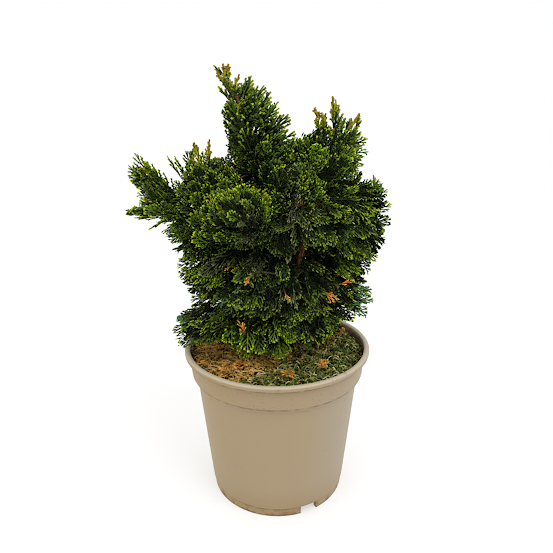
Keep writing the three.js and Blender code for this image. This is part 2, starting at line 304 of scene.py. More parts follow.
@dataclass(frozen=True)
class PotFinish:
    """Moulded plastic, taupe and half matt, with soil grime and scuffs; warmer and darker at the left, partly
    yellowed and partly painted shade, paler at the right as painted light, with a painted highlight on the
    lip and painted shade in the creases.
    """

    name: str
    body: Colour = (155, 136, 106)
    warm: Colour = (151, 129, 88)
    pale: Colour = (153, 141, 123)
    # colour of the painted highlight on the lip's top
    chalk: Colour = (182, 171, 150)
    stain: Colour = (142, 116, 68)
    # brown of the grime and specks, and of the painted shade lines
    dust: Colour = (104, 76, 44)

    def material(self) -> bpy.types.Material:
        """Makes the material."""
        graph = Graph(self.name)
        x, z = graph.along(0), graph.along(2)
        clouds = graph.noise(14.0, 3.0)
        streaks = graph.noise(60.0, 3.0, (1.0, 1.0, 0.08))
        grain = graph.noise(2600.0, 2.0)
        # warmer and darker towards the left: partly yellowing, partly painted shade; paler towards the right:
        # painted light
        colour = graph.mix((x + clouds * 60.0).band(20.0, -90.0), linear(*self.body), linear(*self.warm))
        colour = graph.mix((x + clouds * 60.0).band(40.0, 130.0) * 0.7, colour, linear(*self.pale))
        shade = streaks.band(0.42, 0.7) * 0.1 + clouds.band(0.45, 0.68) * 0.1
        colour = graph.mix(shade, colour, linear(*self.warm))
        # warmer and darker towards the bottom
        colour = graph.mix(z.band(50.0, -6.0) * 0.6, colour, linear(*self.stain))
        colour = graph.mix(z.band(162.0, 166.0) * 0.3, colour, linear(*self.warm))
        # painted highlight: a pale band along the lip's rounded top
        colour = graph.mix(z.band(192.2, 194.2) * 0.85, colour, linear(*self.chalk))
        broken = graph.noise(110.0, 4.0).band(0.36, 0.56)
        # painted shade: dark lines in the crease at the collar's foot, under the lip's overhang and at the
        # foot's step
        crease_shade = z.band(160.2, 161.0) * z.band(163.8, 163.0)
        under_lip_shade = z.band(186.4, 187.6) * z.band(190.2, 189.0)
        step = z.band(9.6, 10.4) * z.band(12.4, 11.4)
        edge = z.band(2.8, 0.6)
        near_foot = z.band(20.0, 0.0) * graph.noise(120.0, 4.0).band(0.4, 0.62) * 0.6
        # the crease, under-lip and step lines are painted shade; the line at the bottom edge is grime
        lines = crease_shade * (0.2 + broken * 0.35) + under_lip_shade * (0.3 + broken * 0.5)
        lines = lines + step * broken * 0.8 + edge * broken * 0.9
        on_lip = z.band(176.0, 194.0) * graph.noise(95.0, 4.0).band(0.58, 0.68) * 0.4
        specks = graph.specks(330.0, 0.2) * graph.noise(40.0, 2.0).band(0.46, 0.56) * z.band(110.0, 180.0)
        flecks = graph.specks(140.0, 0.08) * graph.noise(30.0, 2.0).band(0.4, 0.6)
        # darker on the wall's inner face just above the soil
        inside = graph.noise(220.0, 4.0).band(0.36, 0.56) * 0.7 * self.within(graph)
        # real grime and specks together with the painted shade lines, in one brown
        dirt_and_shade = (near_foot + lines + on_lip + specks + flecks * 0.5 + inside).band(0.0, 1.0)
        colour = graph.mix(dirt_and_shade, colour, linear(*self.dust))
        scuffs = graph.noise(46.0, 5.0, (1.0, 1.0, 2.4)).band(0.6, 0.72)
        roughness = 0.42 + clouds * 0.1 + scuffs * 0.16 + dirt_and_shade * 0.25
        return graph.finish(colour, roughness, grain, 0.00003, Specular_IOR_Level=0.42)

    @staticmethod
    def within(graph: Graph) -> Value:
        """A mask of the wall's inner face: near the soil and closer to the middle than the outer wall."""
        x, y = graph.along(0), graph.along(1)
        reach = graph.math("SQRT", x * x + y * y, 0.0)
        return reach.band(108.6, 107.8) * graph.along(2).band(175.0, 180.0)


@dataclass(frozen=True)
class SoilFinish:
    """Potting soil under its litter: golden brown fibre at one side and dark green moss at the other."""

    name: str
    peat: Colour = (26, 20, 11)
    fibre: Colour = (128, 94, 42)
    moss: Colour = (28, 32, 13)
    fresh: Colour = (92, 96, 42)

    def material(self) -> bpy.types.Material:
        """Makes the material."""
        graph = Graph(self.name)
        x = graph.along(0)
        clumps = graph.noise(70.0, 4.0)
        crumbs = graph.noise(520.0, 5.0)
        side = (x + clumps * 120.0).band(40.0, 85.0)
        brown = graph.mix(crumbs.band(0.36, 0.6), linear(*self.peat), linear(*self.fibre))
        green = graph.mix(crumbs.band(0.4, 0.66), linear(*self.moss), linear(*self.fresh))
        colour = graph.mix(side, brown, green)
        colour = graph.mix(graph.noise(180.0, 3.0).band(0.5, 0.66) * 0.6, colour, linear(*self.peat))
        return graph.finish(colour, 0.92, crumbs + clumps, 0.002, Specular_IOR_Level=0.12)


@dataclass(frozen=True)
class FloorFinish:
    """Plain pale studio floor with a barely seen unevenness."""

    name: str
    colour: Colour = (250, 250, 250)
    clouding: float = 0.985
    darkening: float = 0.52
    glow: float = 0.55

    def material(self) -> bpy.types.Material:
        """Makes the material."""
        graph = Graph(self.name)
        light = linear(*self.colour)
        duller = tuple(channel * self.clouding for channel in light[:3]) + (1.0,)
        lit = graph.mix(graph.noise(1.2, 2.0), light, duller)
        face = graph.mix(self.darkening, lit, (0.0, 0.0, 0.0, 1.0))
        lights = {"Emission_Color": lit, "Emission_Strength": self.glow}
        return graph.finish(face, 0.9, Specular_IOR_Level=0.1, **lights)


class Tone(Enum):
    """The tones that leaves, dead sprays and litter are dealt, NIGHT and SHADE as painted shade; each value
    is its place among the finishes.
    """

    NIGHT = 0
    SHADE = 1
    LEAF = 2
    GREEN = 3
    LIME = 4
    YELLOW = 5
    BRONZE = 6
    RUST = 7
    BLUE = 8
    SILVER = 9
    DEAD = 10
    STRAW = 11
    CHAFF = 12
    MOSS = 13
    OLIVE = 14
    BLADE = 15
    ASH = 16
    PEAT = 17


TONES = {
    # painted shade: leaf green darkened, near black for NIGHT, for shoots that lie in shadow
    Tone.NIGHT: LeafFinish("leaf_night", (20, 28, 12), 0.05),
    Tone.SHADE: LeafFinish("leaf_shade", (36, 51, 18), 0.1),
    Tone.LEAF: LeafFinish("leaf_mid", (70, 87, 28), 0.12),
    Tone.GREEN: LeafFinish("leaf_green", (96, 126, 26)),
    Tone.LIME: LeafFinish("leaf_lime", (146, 172, 30)),
    Tone.YELLOW: LeafFinish("leaf_yellow", (184, 198, 40)),
    Tone.BRONZE: LeafFinish("leaf_bronze", (144, 146, 28)),
    Tone.RUST: LeafFinish("leaf_rust", (146, 104, 44)),
    Tone.BLUE: LeafFinish("leaf_blue", (84, 120, 72)),
    Tone.SILVER: LeafFinish("leaf_silver", (124, 136, 74), 0.16),
    Tone.DEAD: LeafFinish("dead_spray", (210, 130, 52)),
    Tone.STRAW: LeafFinish("straw", (222, 176, 88)),
    Tone.CHAFF: LeafFinish("chaff", (220, 204, 156)),
    Tone.MOSS: LeafFinish("moss", (62, 68, 22)),
    Tone.OLIVE: LeafFinish("olive_moss", (150, 148, 74)),
    Tone.BLADE: LeafFinish("grass_blade", (84, 104, 44)),
    Tone.ASH: LeafFinish("leaf_ash", (74, 82, 46), 0.16),
    Tone.PEAT: LeafFinish("peat", (34, 26, 14), 0.05),
}


@functools.cache
def tone_finishes() -> list[bpy.types.Material]:
    """One material for each tone, in the tones' order."""
    return [TONES[tone].material() for tone in Tone]


# ---------------------------------------------------------------- meshes

# where a dart's widest ring lies along it, and where a long shoot's last ring lies in its tip
DART_RING = 0.76
FINGER_END = 0.8
# the share of a shoot's thickness that lies under its middle
DART_BELLY = 0.35
FINGER_BELLY = 0.4


@dataclass
class Shape:
    """Closed faces in millimetres, each with the place of its finish in the piece's list."""

    points: Array
    quads: Array
    triangles: Array
    quad_finish: Array
    triangle_finish: Array

    @classmethod
    def plain(cls, points: Array, quads: Array, triangles: Array, finish: int = 0) -> "Shape":
        """A shape in one finish, with its faces turned outwards."""
        quads, triangles = quads.reshape(-1, 4).astype(np.int32), triangles.reshape(-1, 3).astype(np.int32)
        finishes = [np.full(len(faces), finish, np.int32) for faces in (quads, triangles)]
        return cls(points.reshape(-1, 3), quads, triangles, *finishes).outward()

    @classmethod
    def joined(cls, shapes: Sequence["Shape"]) -> "Shape":
        """Several shapes as one."""
        first = np.cumsum([0] + [len(shape.points) for shape in shapes[:-1]])
        return cls(
            np.concatenate([shape.points for shape in shapes]),
            np.concatenate([shape.quads + start for shape, start in zip(shapes, first)]),
            np.concatenate([shape.triangles + start for shape, start in zip(shapes, first)]),
            np.concatenate([shape.quad_finish for shape in shapes]),
            np.concatenate([shape.triangle_finish for shape in shapes]),
        )

    def all_triangles(self) -> Array:
        """The faces as triangles, the quads cut in two."""
        return np.concatenate([self.triangles, self.quads[:, [0, 1, 2]], self.quads[:, [0, 2, 3]]])

    def outward(self) -> "Shape":
        """Turns all faces if the volume they enclose comes out negative."""
        if not len(self.points):
            return self
        corners = (self.points - self.points.mean(0))[self.all_triangles()]
        volume = np.sum(corners[:, 0] * np.cross(corners[:, 1], corners[:, 2]))
        if volume < 0.0:
            self.quads = self.quads[:, ::-1]
            self.triangles = self.triangles[:, ::-1]
        return self

    def simple_object(self, name: str) -> bpy.types.Object:
        """A bare object of the shape, for what is no piece of the part."""
        mesh = bpy.data.meshes.new(name)
        mesh.from_pydata((self.points * MM).tolist(), [], self.quads.tolist() + self.triangles.tolist())
        return added(name, mesh)

    def piece(
        self,
        name: str,
        finishes: Sequence[bpy.types.Material],
        slot: str,
        nodes: Sequence[str] = (),
        smooth: float | None = None,
    ) -> bpy.types.Object:
        """Makes the mesh and hands it to the frame.

        Args:
            name: The piece's name.
            finishes: Its materials.
            slot: The record's material slot; not used.
            nodes: The CAD nodes that it stands for.
            smooth: The angle in degrees past which an edge stays sharp, or None for flat faces.

        Returns:
            The finished object.
        """
        mesh = bpy.data.meshes.new(name)
        mesh.vertices.add(len(self.points))
        mesh.vertices.foreach_set("co", (self.points * MM).astype(np.float32).ravel())
        corners = np.concatenate([self.quads.ravel(), self.triangles.ravel()]).astype(np.int32)
        sizes = np.concatenate([np.full(len(self.quads), 4), np.full(len(self.triangles), 3)])
        mesh.loops.add(len(corners))
        mesh.loops.foreach_set("vertex_index", corners)
        mesh.polygons.add(len(sizes))
        mesh.polygons.foreach_set("loop_start", (np.cumsum(sizes) - sizes).astype(np.int32))
        used, which = np.unique(np.concatenate([self.quad_finish, self.triangle_finish]), return_inverse=True)
        for number in used:
            mesh.materials.append(finishes[number])
        mesh.polygons.foreach_set("material_index", which.astype(np.int32))
        mesh.update(calc_edges=True)
        mesh.validate()
        if smooth is not None:
            smoothed(mesh, smooth)
        made = added(name, mesh)
        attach(made, BODY)
        if nodes:
            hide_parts(*nodes)
        LOG.info("%s: %d triangles, for %d nodes", name, len(self.all_triangles()), len(nodes))
        return made


def added(name: str, data: bpy.types.ID) -> bpy.types.Object:
    """Adds an object to the scene."""
    made = bpy.data.objects.new(name, data)
    bpy.context.scene.collection.objects.link(made)
    return made


def smoothed(mesh: bpy.types.Mesh, sharp: float) -> None:
    """Shades a mesh smooth, apart from the edges that bend by more than so many degrees."""
    mesh.shade_smooth()
    mesh.set_sharp_from_angle(angle=math.radians(sharp))


def node_mesh(name: str) -> tuple[Array, Array]:
    """A CAD node's merged points in millimetres, and its triangles."""
    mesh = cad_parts[name].data
    mesh.calc_loop_triangles()
    points = np.empty(len(mesh.vertices) * 3, np.float32)
    mesh.vertices.foreach_get("co", points)
    corners = np.empty(len(mesh.loop_triangles) * 3, np.int32)
    mesh.loop_triangles.foreach_get("vertices", corners)
    rounded = np.round(points.reshape(-1, 3) / MM, 3)
    merged, place = np.unique(rounded, axis=0, return_inverse=True)
    return merged.astype(float), place.reshape(-1)[corners].reshape(-1, 3)


def ringed(rings: int, sides: int) -> tuple[Array, Array, Array]:
    """The faces of a tube whose points are numbered ring by ring, then its near end's and its far end's.

    Args:
        rings: How many rings.
        sides: Points round each.

    Returns:
        The quads between the rings, and the triangles of the near and of the far end.
    """
    index = np.arange(rings * sides).reshape(rings, sides)
    after = np.roll(index, -1, axis=1)
    quads = np.stack([index[:-1], after[:-1], after[1:], index[1:]], axis=-1).reshape(-1, 4)
    near = np.stack([np.full(sides, rings * sides), after[0], index[0]], axis=-1)
    far = np.stack([np.full(sides, rings * sides + 1), index[-1], after[-1]], axis=-1)
    return quads, near, far


def turned(profile: Sequence[tuple[float, float]], sides: int) -> Shape:
    """A body of revolution: the point (r, z) of the profile at bearing a is (r cos a, r sin a, z).

    Args:
        profile: Radius and height from one pole on the axis to the other.
        sides: Points once round.

    Returns:
        The closed shape, its two poles each one point.
    """
    rows = np.array(profile[1:-1], float)
    bearings = round_angles(sides)
    ring = np.stack([np.cos(bearings), np.sin(bearings)], axis=-1)
    heights = np.broadcast_to(rows[:, None, 1:], (len(rows), sides, 1))
    wall = np.concatenate([rows[:, None, :1] * ring[None], heights], axis=-1)
    poles = np.array([[0.0, 0.0, profile[0][1]], [0.0, 0.0, profile[-1][1]]])
    quads, near, far = ringed(len(rows), sides)
    return Shape.plain(np.concatenate([wall.reshape(-1, 3), poles]), quads, np.concatenate([near, far]))


def tubes(paths: Array, radii: Array, sides: int, finish: int = 0, relief: Array | None = None) -> Shape:
    """Closed tubes: at each station a ring of radius r round the path, square to it, and a point at each end.

    Args:
        paths: Centre lines, tubes by stations by 3.
        radii: Their radii, tubes by stations.
        sides: Points round each ring.
        finish: The place of the finish.
        relief: Extra radius at each ring point, tubes by stations by sides.

    Returns:
        All the tubes as one shape.
    """
    count, stations, _ = paths.shape
    tangent = unit(np.gradient(paths, axis=1))
    mean = unit(paths[:, -1] - paths[:, 0])
    steep = np.abs(mean[:, 2:]) > 0.8
    start = np.where(steep, np.array([1.0, 0.0, 0.0]), np.array([0.0, 0.0, 1.0]))[:, None, :]
    side = square_to(np.broadcast_to(start, paths.shape), tangent)
    over = np.cross(tangent, side)
    angle = round_angles(sides)[:, None]
    out = np.cos(angle) * side[:, :, None] + np.sin(angle) * over[:, :, None]
    reach = np.broadcast_to(radii[:, :, None], (count, stations, sides))
    if relief is not None:
        reach = reach + relief
    rings = (paths[:, :, None] + reach[..., None] * out).reshape(count, -1, 3)
    points = np.concatenate([rings, paths[:, :1], paths[:, -1:]], axis=1)
    base = (np.arange(count) * points.shape[1])[:, None, None]
    quads, near, far = ringed(stations, sides)
    return Shape.plain(points, quads[None] + base, np.concatenate([near, far])[None] + base, finish)


def darts(
    start: Array,
    end: Array,
    side: Array,
    face: Array,
    width: Array,
    thick: Array,
    finish: Array,
    tip: Array | None = None,
) -> Shape:
    """Closed scale shoots: each a dart that widens from its start to a ring of three, then ends bluntly.

    Args:
        start: Where each begins, darts by 3.
        end: Its blunt tip.
        side: The unit direction across it.
        face: The unit direction that its upper face looks to.
        width: Its greatest width.
        thick: Its greatest thickness.
        finish: The place of each one's finish.
        tip: The place of the finish of its blunt end, if that is another.

    Returns:
        All the darts as one shape, six triangles each.
    """
    ring = start + DART_RING * (end - start)
    across = side * width[:, None] * 0.5
    low, high = face * thick[:, None] * -DART_BELLY, face * thick[:, None] * (1.0 - DART_BELLY)
    points = np.stack([start, ring + across + low, ring - across + low, ring + high, end], axis=1)
    corners = np.array([[0, 1, 3], [0, 3, 2], [0, 2, 1], [4, 3, 1], [4, 2, 3], [4, 1, 2]])
    triangles = corners[None] + (np.arange(len(start)) * points.shape[1])[:, None, None]
    made = Shape.plain(points, np.zeros((0, 4)), triangles)
    both = np.stack([finish, finish if tip is None else tip], axis=-1)
    made.triangle_finish = np.repeat(both, 3).astype(np.int32)
    return made


def fingers(path: Array, side: Array, up: Array, width: Array, thick: float, tone: Array) -> Shape:
    """Closed shoots: at each station a ring of three points, two at the sides and a ridge, and a blunt tip.

    Args:
        path: Centre lines, shoots by stations by 3; the last station is the tip.
        side: The unit direction across the shoot at each station.
        up: The unit direction of its ridge at each station.
        width: Its width at each station.
        thick: Its thickness as a share of its width.
        tone: The place of the finish of each joint, shoots by joints.

    Returns:
        All the shoots as one shape.
    """
    count, stations, _ = path.shape
    centre = path.copy()
    centre[:, -1] = path[:, -2] + FINGER_END * (path[:, -1] - path[:, -2])
    across = side * width[..., None] * 0.5
    ridge = up * width[..., None] * thick
    low, high = FINGER_BELLY * ridge, (1.0 - FINGER_BELLY) * ridge
    ring = np.stack([centre + across - low, centre - across - low, centre + high], axis=2)
    points = np.concatenate([ring.reshape(count, 3 * stations, 3), path[:, -1:]], axis=1)
    base = (np.arange(count) * points.shape[1])[:, None, None]
    quads, _, far = ringed(stations, 3)
    tip = far - np.array([1, 0, 0])
    made = Shape.plain(points, quads[None] + base, np.concatenate([tip, [[1, 0, 2]]])[None] + base)
    made.quad_finish = np.repeat(tone, 3, axis=1).ravel().astype(np.int32)
    last = np.concatenate([np.repeat(tone[:, -1:], 3, axis=1), tone[:, :1]], axis=1)
    made.triangle_finish = last.ravel().astype(np.int32)
    return made


# ---------------------------------------------------------------- pot


@dataclass
class Pot:
    """The round nursery pot: rolled lip, collar, tapering body, and a foot ring with gaps and drain holes."""

    height: float = 195.0
    rim_radius: float = 115.0
    rim_height: float = 6.7
    mouth_radius: float = 108.5
    collar_top: float = 109.2
    collar_foot: float = 107.3
    collar_height: float = 32.3
    shoulder: float = 6.0
    body_top: float = 101.1
    body_foot: float = 86.7
    body_bend: float = 46.0
    foot_height: float = 11.0
    foot_radius: float = 84.8
    foot_width: float = 7.0
    wall: float = 1.6
    pad_radius: float = 40.0
    pad_slope: float = 7.0
    notch_count: int = 3
    notch_bearing: float = -63.5
    notch_width: float = 22.0
    notch_height: float = 10.6
    drain_count: int = 6
    drain_radius: float = 4.0
    drain_ring: float = 62.0
    segments: int = 288
    sharp: float = 42.0

    def eased(self, corners: Sequence[tuple[float, float, float]]) -> list[tuple[float, float]]:
        """Rounds a profile's corners: each becomes an arc drawn as a quadratic curve through its corner.

        Args:
            corners: Radius, height and how far the easing reaches along both sides.

        Returns:
            The rounded profile.
        """
        plan = np.array([corner[:2] for corner in corners], float)
        reach = np.array([corner[2] for corner in corners], float)
        rounded: list[tuple[float, float]] = [tuple(plan[0])]
        for before, here, after, ease in zip(plan[:-2], plan[1:-1], plan[2:], reach[1:-1]):
            if ease == 0.0:
                rounded.append(tuple(here))
                continue
            first = here + unit(before - here) * min(ease, np.linalg.norm(before - here) * 0.48)
            last = here + unit(after - here) * min(ease, np.linalg.norm(after - here) * 0.48)
            rounded.extend(map(tuple, curved(first[None], here[None], last[None], 5)[0]))
        rounded.append(tuple(plan[-1]))
        return rounded

    def profile(self) -> list[tuple[float, float]]:
        """The wall's section from the middle of the underside, round the outside and in over the lip."""
        top, lip_foot = self.height, self.height - self.rim_height
        collar_low = self.height - self.collar_height
        body_high = collar_low - self.shoulder
        floor = self.foot_height + self.wall
        body_share = (body_high - self.body_bend) / (body_high - self.foot_height)
        body_mid = self.body_top + (self.body_foot - self.body_top) * body_share
        return self.eased(
            [
                (0.0, 0.0, 0.0),
                (self.pad_radius, 0.0, 1.2),
                (self.pad_radius + self.pad_slope, self.foot_height, 1.5),
                (self.foot_radius - self.foot_width, self.foot_height, 1.0),
                (self.foot_radius - self.foot_width + 1.0, 0.0, 0.8),
                (self.foot_radius, 0.0, 1.0),
                (self.foot_radius + 0.5, self.foot_height - 1.6, 0.6),
                (self.foot_radius + 0.2, self.foot_height - 0.4, 0.4),
                (self.body_foot, self.foot_height + 0.8, 1.0),
                (body_mid, self.body_bend, 0.0),
                (self.body_top - 0.2, body_high - 0.8, 1.2),
                (self.body_top + 1.2, body_high - 0.6, 0.8),
                (self.collar_foot - 1.0, collar_low - 1.6, 0.6),
                (self.collar_foot - 0.7, collar_low + 0.1, 0.3),
                (self.collar_foot, collar_low + 0.8, 0.5),
                (self.collar_top - 0.1, lip_foot - 2.6, 0.5),
                (self.collar_top - 0.5, lip_foot + 0.8, 0.6),
                (self.rim_radius - 3.6, lip_foot + 0.6, 0.4),
                (self.rim_radius - 2.6, lip_foot, 0.5),
                (self.rim_radius - 0.6, lip_foot, 0.9),
                (self.rim_radius, lip_foot + 1.6, 1.0),
                (self.rim_radius, top - 1.4, 1.3),
                (self.rim_radius - 2.4, top, 1.5),
                (self.mouth_radius + 1.6, top, 1.0),
                (self.mouth_radius, top - 1.2, 1.2),
                (self.collar_foot - self.wall, collar_low + 0.6, 1.5),
                (self.body_top - self.wall, body_high - 0.6, 1.5),
                (self.body_foot - self.wall, floor, 1.5),
                (self.pad_radius + self.pad_slope - self.wall, floor, 1.0),
                (self.pad_radius - self.wall, self.wall, 1.0),
                (0.0, self.wall, 0.0),
            ]
        )

    def cutters(self) -> Shape:
        """The gaps in the foot ring, as boxes, and the drain holes, as round prisms."""
        up = np.array([0.0, 0.0, 1.0])
        shapes = []
        for i in range(self.notch_count):
            angle = math.radians(self.notch_bearing + i * 360.0 / self.notch_count)
            out = np.array([math.cos(angle), math.sin(angle), 0.0])
            middle = out * (self.foot_radius - self.foot_width / 2)
            path = np.stack([middle - out * self.foot_width * 1.5, middle + out * self.foot_width * 1.5])
            across = np.array([-out[1], out[0], 0.0])
            corner = np.array([[-1, -1], [1, -1], [1, 1], [-1, 1]])
            wide, tall = corner[None, :, 0] * self.notch_width / 2, corner[None, :, 1] * self.notch_height
            square = path[:, None] + wide[..., None] * across + tall[..., None] * up
            quads, near, far = ringed(2, 4)
            points = np.concatenate([square.reshape(-1, 3), path])
            shapes.append(Shape.plain(points, quads, np.concatenate([near, far])))
        for i in range(self.drain_count):
            angle = (i + 0.5) * 2.0 * math.pi / self.drain_count
            foot = np.array([math.cos(angle) * self.drain_ring, math.sin(angle) * self.drain_ring, 6.0])
            path = np.stack([foot, foot + self.foot_height * up])
            shapes.append(tubes(path[None], np.full((1, 2), self.drain_radius), 24))
        return Shape.joined(shapes)

    def build(self) -> None:
        """Turns the wall, cuts its gaps and holes, and dresses it."""
        finish = PotFinish("pot_plastic").material()
        made = turned(self.profile(), self.segments).piece("pot_moulding", [finish], "pot_plastic", ["pot"])
        tool = self.cutters().simple_object("cutters")
        boolean = made.modifiers.new("gaps", "BOOLEAN")
        boolean.operation, boolean.object, boolean.solver = "DIFFERENCE", tool, "EXACT"
        bpy.context.view_layer.update()
        whole = bpy.data.meshes.new_from_object(made.evaluated_get(bpy.context.evaluated_depsgraph_get()))
        made.modifiers.clear()
        made.data = whole
        bpy.data.objects.remove(tool)
        smoothed(whole, self.sharp)


# ---------------------------------------------------------------- limbs


# the height that limbs are taken to come from, a little down in the soil
TRUNK_FOOT = 182.0


@dataclass(frozen=True)
class Limb:
    """A limb's centre line and radius at even stations, read from its solid."""

    name: str
    path: Array
    radius: Array

    @classmethod
    def read(cls, name: str, stations: int, degree: int) -> "Limb":
        """Cuts the node's solid by planes across its length and fits a smooth line through the cuts' middles.

        Args:
            name: The CAD node.
            stations: How many planes cut it.
            degree: The degree of the fitted curve.

        Returns:
            The limb, from its thick end.
        """
        points, triangles = node_mesh(name)
        off_foot = np.linalg.norm(points[:, :2], axis=1) + 0.4 * np.abs(points[:, 2] - TRUNK_FOOT)
        first = points[np.argmin(off_foot)]
        last = points[np.argmax(np.linalg.norm(points - first, axis=1))]
        axis = unit(last - first)
        reach = points @ axis
        edges = np.concatenate([triangles[:, [0, 1]], triangles[:, [1, 2]], triangles[:, [2, 0]]])
        a, b = points[edges[:, 0]], points[edges[:, 1]]
        low, high = reach[edges[:, 0]], reach[edges[:, 1]]
        cuts = np.linspace(*np.percentile(reach, [4, 96]), stations)
        crossed = (low[None] < cuts[:, None]) != (high[None] < cuts[:, None])
        share = (cuts[:, None] - low[None]) / np.where(high == low, 1.0, high - low)[None]
        hit = a[None] + share[..., None] * (b - a)[None]
        weight = crossed[..., None] / np.maximum(crossed.sum(1), 1)[:, None, None]
        middle = np.sum(hit * weight, axis=1)
        wide = np.sum(np.linalg.norm(hit - middle[:, None], axis=-1) * weight[..., 0], axis=1)
        fitted = [np.polynomial.Polynomial.fit(cuts, middle[:, i], degree) for i in range(3)]
        thick = np.polynomial.Polynomial.fit(cuts, wide, 2)
        even = np.linspace(reach.min(), reach.max(), stations)
        path = np.stack([curve(even) for curve in fitted], axis=-1)
        return cls(name, path, np.maximum(thick(even), 0.5))


@dataclass
class Limbs:
    """The trunk and the main boughs with the bark's relief."""

    trunk_sides: int = 56
    trunk_steps: int = 220
    bough_sides: int = 18
    bough_steps: int = 60
    strip_depth: float = 0.42
    flare: float = 6.0
    flare_height: float = 18.0
    sharp: float = 60.0
    forward: tuple[Place, ...] = ((-2, -2, 246), (20, -62, 282), (34, -46, 352))
    seed: int = 7

    def read(self) -> list[Limb]:
        """The trunk first, then every bough."""
        names = sorted(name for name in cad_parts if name.startswith("bough_"))
        return [Limb.read("trunk", 60, 7)] + [Limb.read(name, 14, 3) for name in names]

    def dense(self, limb: Limb, steps: int, start: float) -> tuple[Array, Array]:
        """A limb's line at many stations, with its start carried back into what bears it.

        Args:
            limb: The limb.
            steps: How many stations.
            start: How far back its start goes.

        Returns:
            The line and its radii.
        """
        heading = unit(limb.path[0] - limb.path[1])
        path = np.concatenate([[limb.path[0] + heading * start], limb.path])
        radius = np.concatenate([limb.radius[:1], limb.radius])
        along = np.concatenate([[0.0], np.cumsum(np.linalg.norm(np.diff(path, axis=0), axis=1))])
        even = np.linspace(0.0, along[-1], steps)
        return stations_of(path, along, even), np.interp(even, along, radius)

    def relief(self, rng: Rng, along: Array, sides: int, depth: float) -> Array:
        """Strips of bark: a sum of waves round the limb whose crests drift and break along it.

        Args:
            rng: The source of phases.
            along: The length run at each station.
            sides: Points round.
            depth: The greatest height of a strip.

        Returns:
            The extra radius, stations by sides.
        """
        angle = round_angles(sides)[None, :]
        run = along[:, None]
        total = np.zeros((len(along), sides))
        for order in (3, 5, 8, 13, 21):
            if order * 2 > sides:
                continue
            drift = rng.uniform(-0.05, 0.05)
            sway = 0.9 * np.sin(run * rng.uniform(0.05, 0.14) + rng.uniform(0, 6.28))
            breaks = 0.6 + 0.4 * np.sin(run * rng.uniform(0.12, 0.4) + angle * 2 + rng.uniform(0, 6.28))
            total += breaks * np.sin(order * angle + drift * run * order + sway) / math.sqrt(order)
        return depth * total / 1.4

    def build(self, limbs: Sequence[Limb]) -> None:
        """Makes the trunk's and the boughs' bark, with one bough more that rises in the front's hollow."""
        rng = np.random.default_rng(self.seed)
        bark = BarkFinish("bark").material()
        line, radius = self.dense(limbs[0], self.trunk_steps, 3.0)
        height = line[:, 2] - SOIL_HEIGHT
        flare = self.flare * np.clip(1.0 - height / self.flare_height, 0.0, 1.2) ** 2
        lobes = 0.35 * flare[:, None] * np.sin(3.0 * round_angles(self.trunk_sides) + 1.0)[None]
        strips = self.relief(rng, height, self.trunk_sides, self.strip_depth)
        trunk = tubes(line[None], radius[None], self.trunk_sides, 0, (lobes + strips)[None])
        trunk.piece("trunk_bark", [bark], "bark", ["trunk"], self.sharp)
        shapes = []
        for limb in limbs[1:]:
            line, radius = self.dense(limb, self.bough_steps, 5.0)
            shapes.append(self.bough(rng, line[None], radius, 90.0, self.strip_depth * 0.45))
        line = curved(*(np.array([knot], float) for knot in self.forward), self.bough_steps)
        shapes.append(self.bough(rng, line, np.linspace(3.6, 2.0, self.bough_steps), 110.0, 0.3))
        names = [limb.name for limb in limbs[1:]]
        Shape.joined(shapes).piece("bough_bark", [bark], "bark", names, self.sharp)

    def bough(self, rng: Rng, line: Array, radius: Array, reach: float, depth: float) -> Shape:
        """One bough with its strips of bark.

        Args:
            rng: The source of the strips.
            line: Its centre line, 1 by stations by 3.
            radius: Its radius at each station.
            reach: The length that the strips run over.
            depth: Their depth.

        Returns:
            Its tube.
        """
        strips = self.relief(rng, np.linspace(0.0, reach, self.bough_steps), self.bough_sides, depth)
        return tubes(line, radius[None], self.bough_sides, 0, strips[None])


# ---------------------------------------------------------------- sprays


class Kind(Enum):
    """How a spray is coloured, from its innermost shoots by way of two middle ranks to its tips; the darker
    inner ranks are partly the older shoots' own colour and partly painted shade, and BLACK, DEEP and SHADY
    are sprays in painted shade.
    """

    BLACK = (Tone.NIGHT, Tone.NIGHT, Tone.NIGHT, Tone.NIGHT)
    DEEP = (Tone.NIGHT, Tone.NIGHT, Tone.SHADE, Tone.LEAF)
    SHADY = (Tone.SHADE, Tone.SHADE, Tone.LEAF, Tone.GREEN)
    COMMON = (Tone.SHADE, Tone.SHADE, Tone.LEAF, Tone.LIME)
    FRESH = (Tone.SHADE, Tone.LEAF, Tone.GREEN, Tone.LIME)
    BRIGHT = (Tone.SHADE, Tone.GREEN, Tone.GREEN, Tone.YELLOW)
    GREY = (Tone.NIGHT, Tone.ASH, Tone.ASH, Tone.SILVER)
    BRONZED = (Tone.SHADE, Tone.LEAF, Tone.GREEN, Tone.BRONZE)
    RUDDY = (Tone.LEAF, Tone.BRONZE, Tone.BRONZE, Tone.RUST)
    BLUISH = (Tone.SHADE, Tone.BLUE, Tone.BLUE, Tone.BLUE)
    WITHERED = (Tone.RUST, Tone.DEAD, Tone.DEAD, Tone.STRAW)

    @property
    def place(self) -> int:
        """Its place among the kinds."""
        return KINDS.index(self)


KINDS = list(Kind)
KIND_TONES = np.array([[tone.value for tone in kind.value] for kind in KINDS])


@dataclass(frozen=True)
class Growth:
    """One form of flat spray: how many are grown, and the numbers of the branching rule.

    The numbers are how many side shoots a spray throws, the range of the first one's angle in degrees, how
    far they fill the circle, the length of a shoot's bright tip, and the distance between the short shoots,
    which are about half as long again.
    """

    count: int
    sides: int
    spread: tuple[float, float]
    fullness: tuple[float, float]
    tip: float
    step: float

    def grown(self, rng: Rng) -> list["Frond"]:
        """That many sprays of the form."""
        return [Frond.grow(rng, self) for _ in range(self.count)]


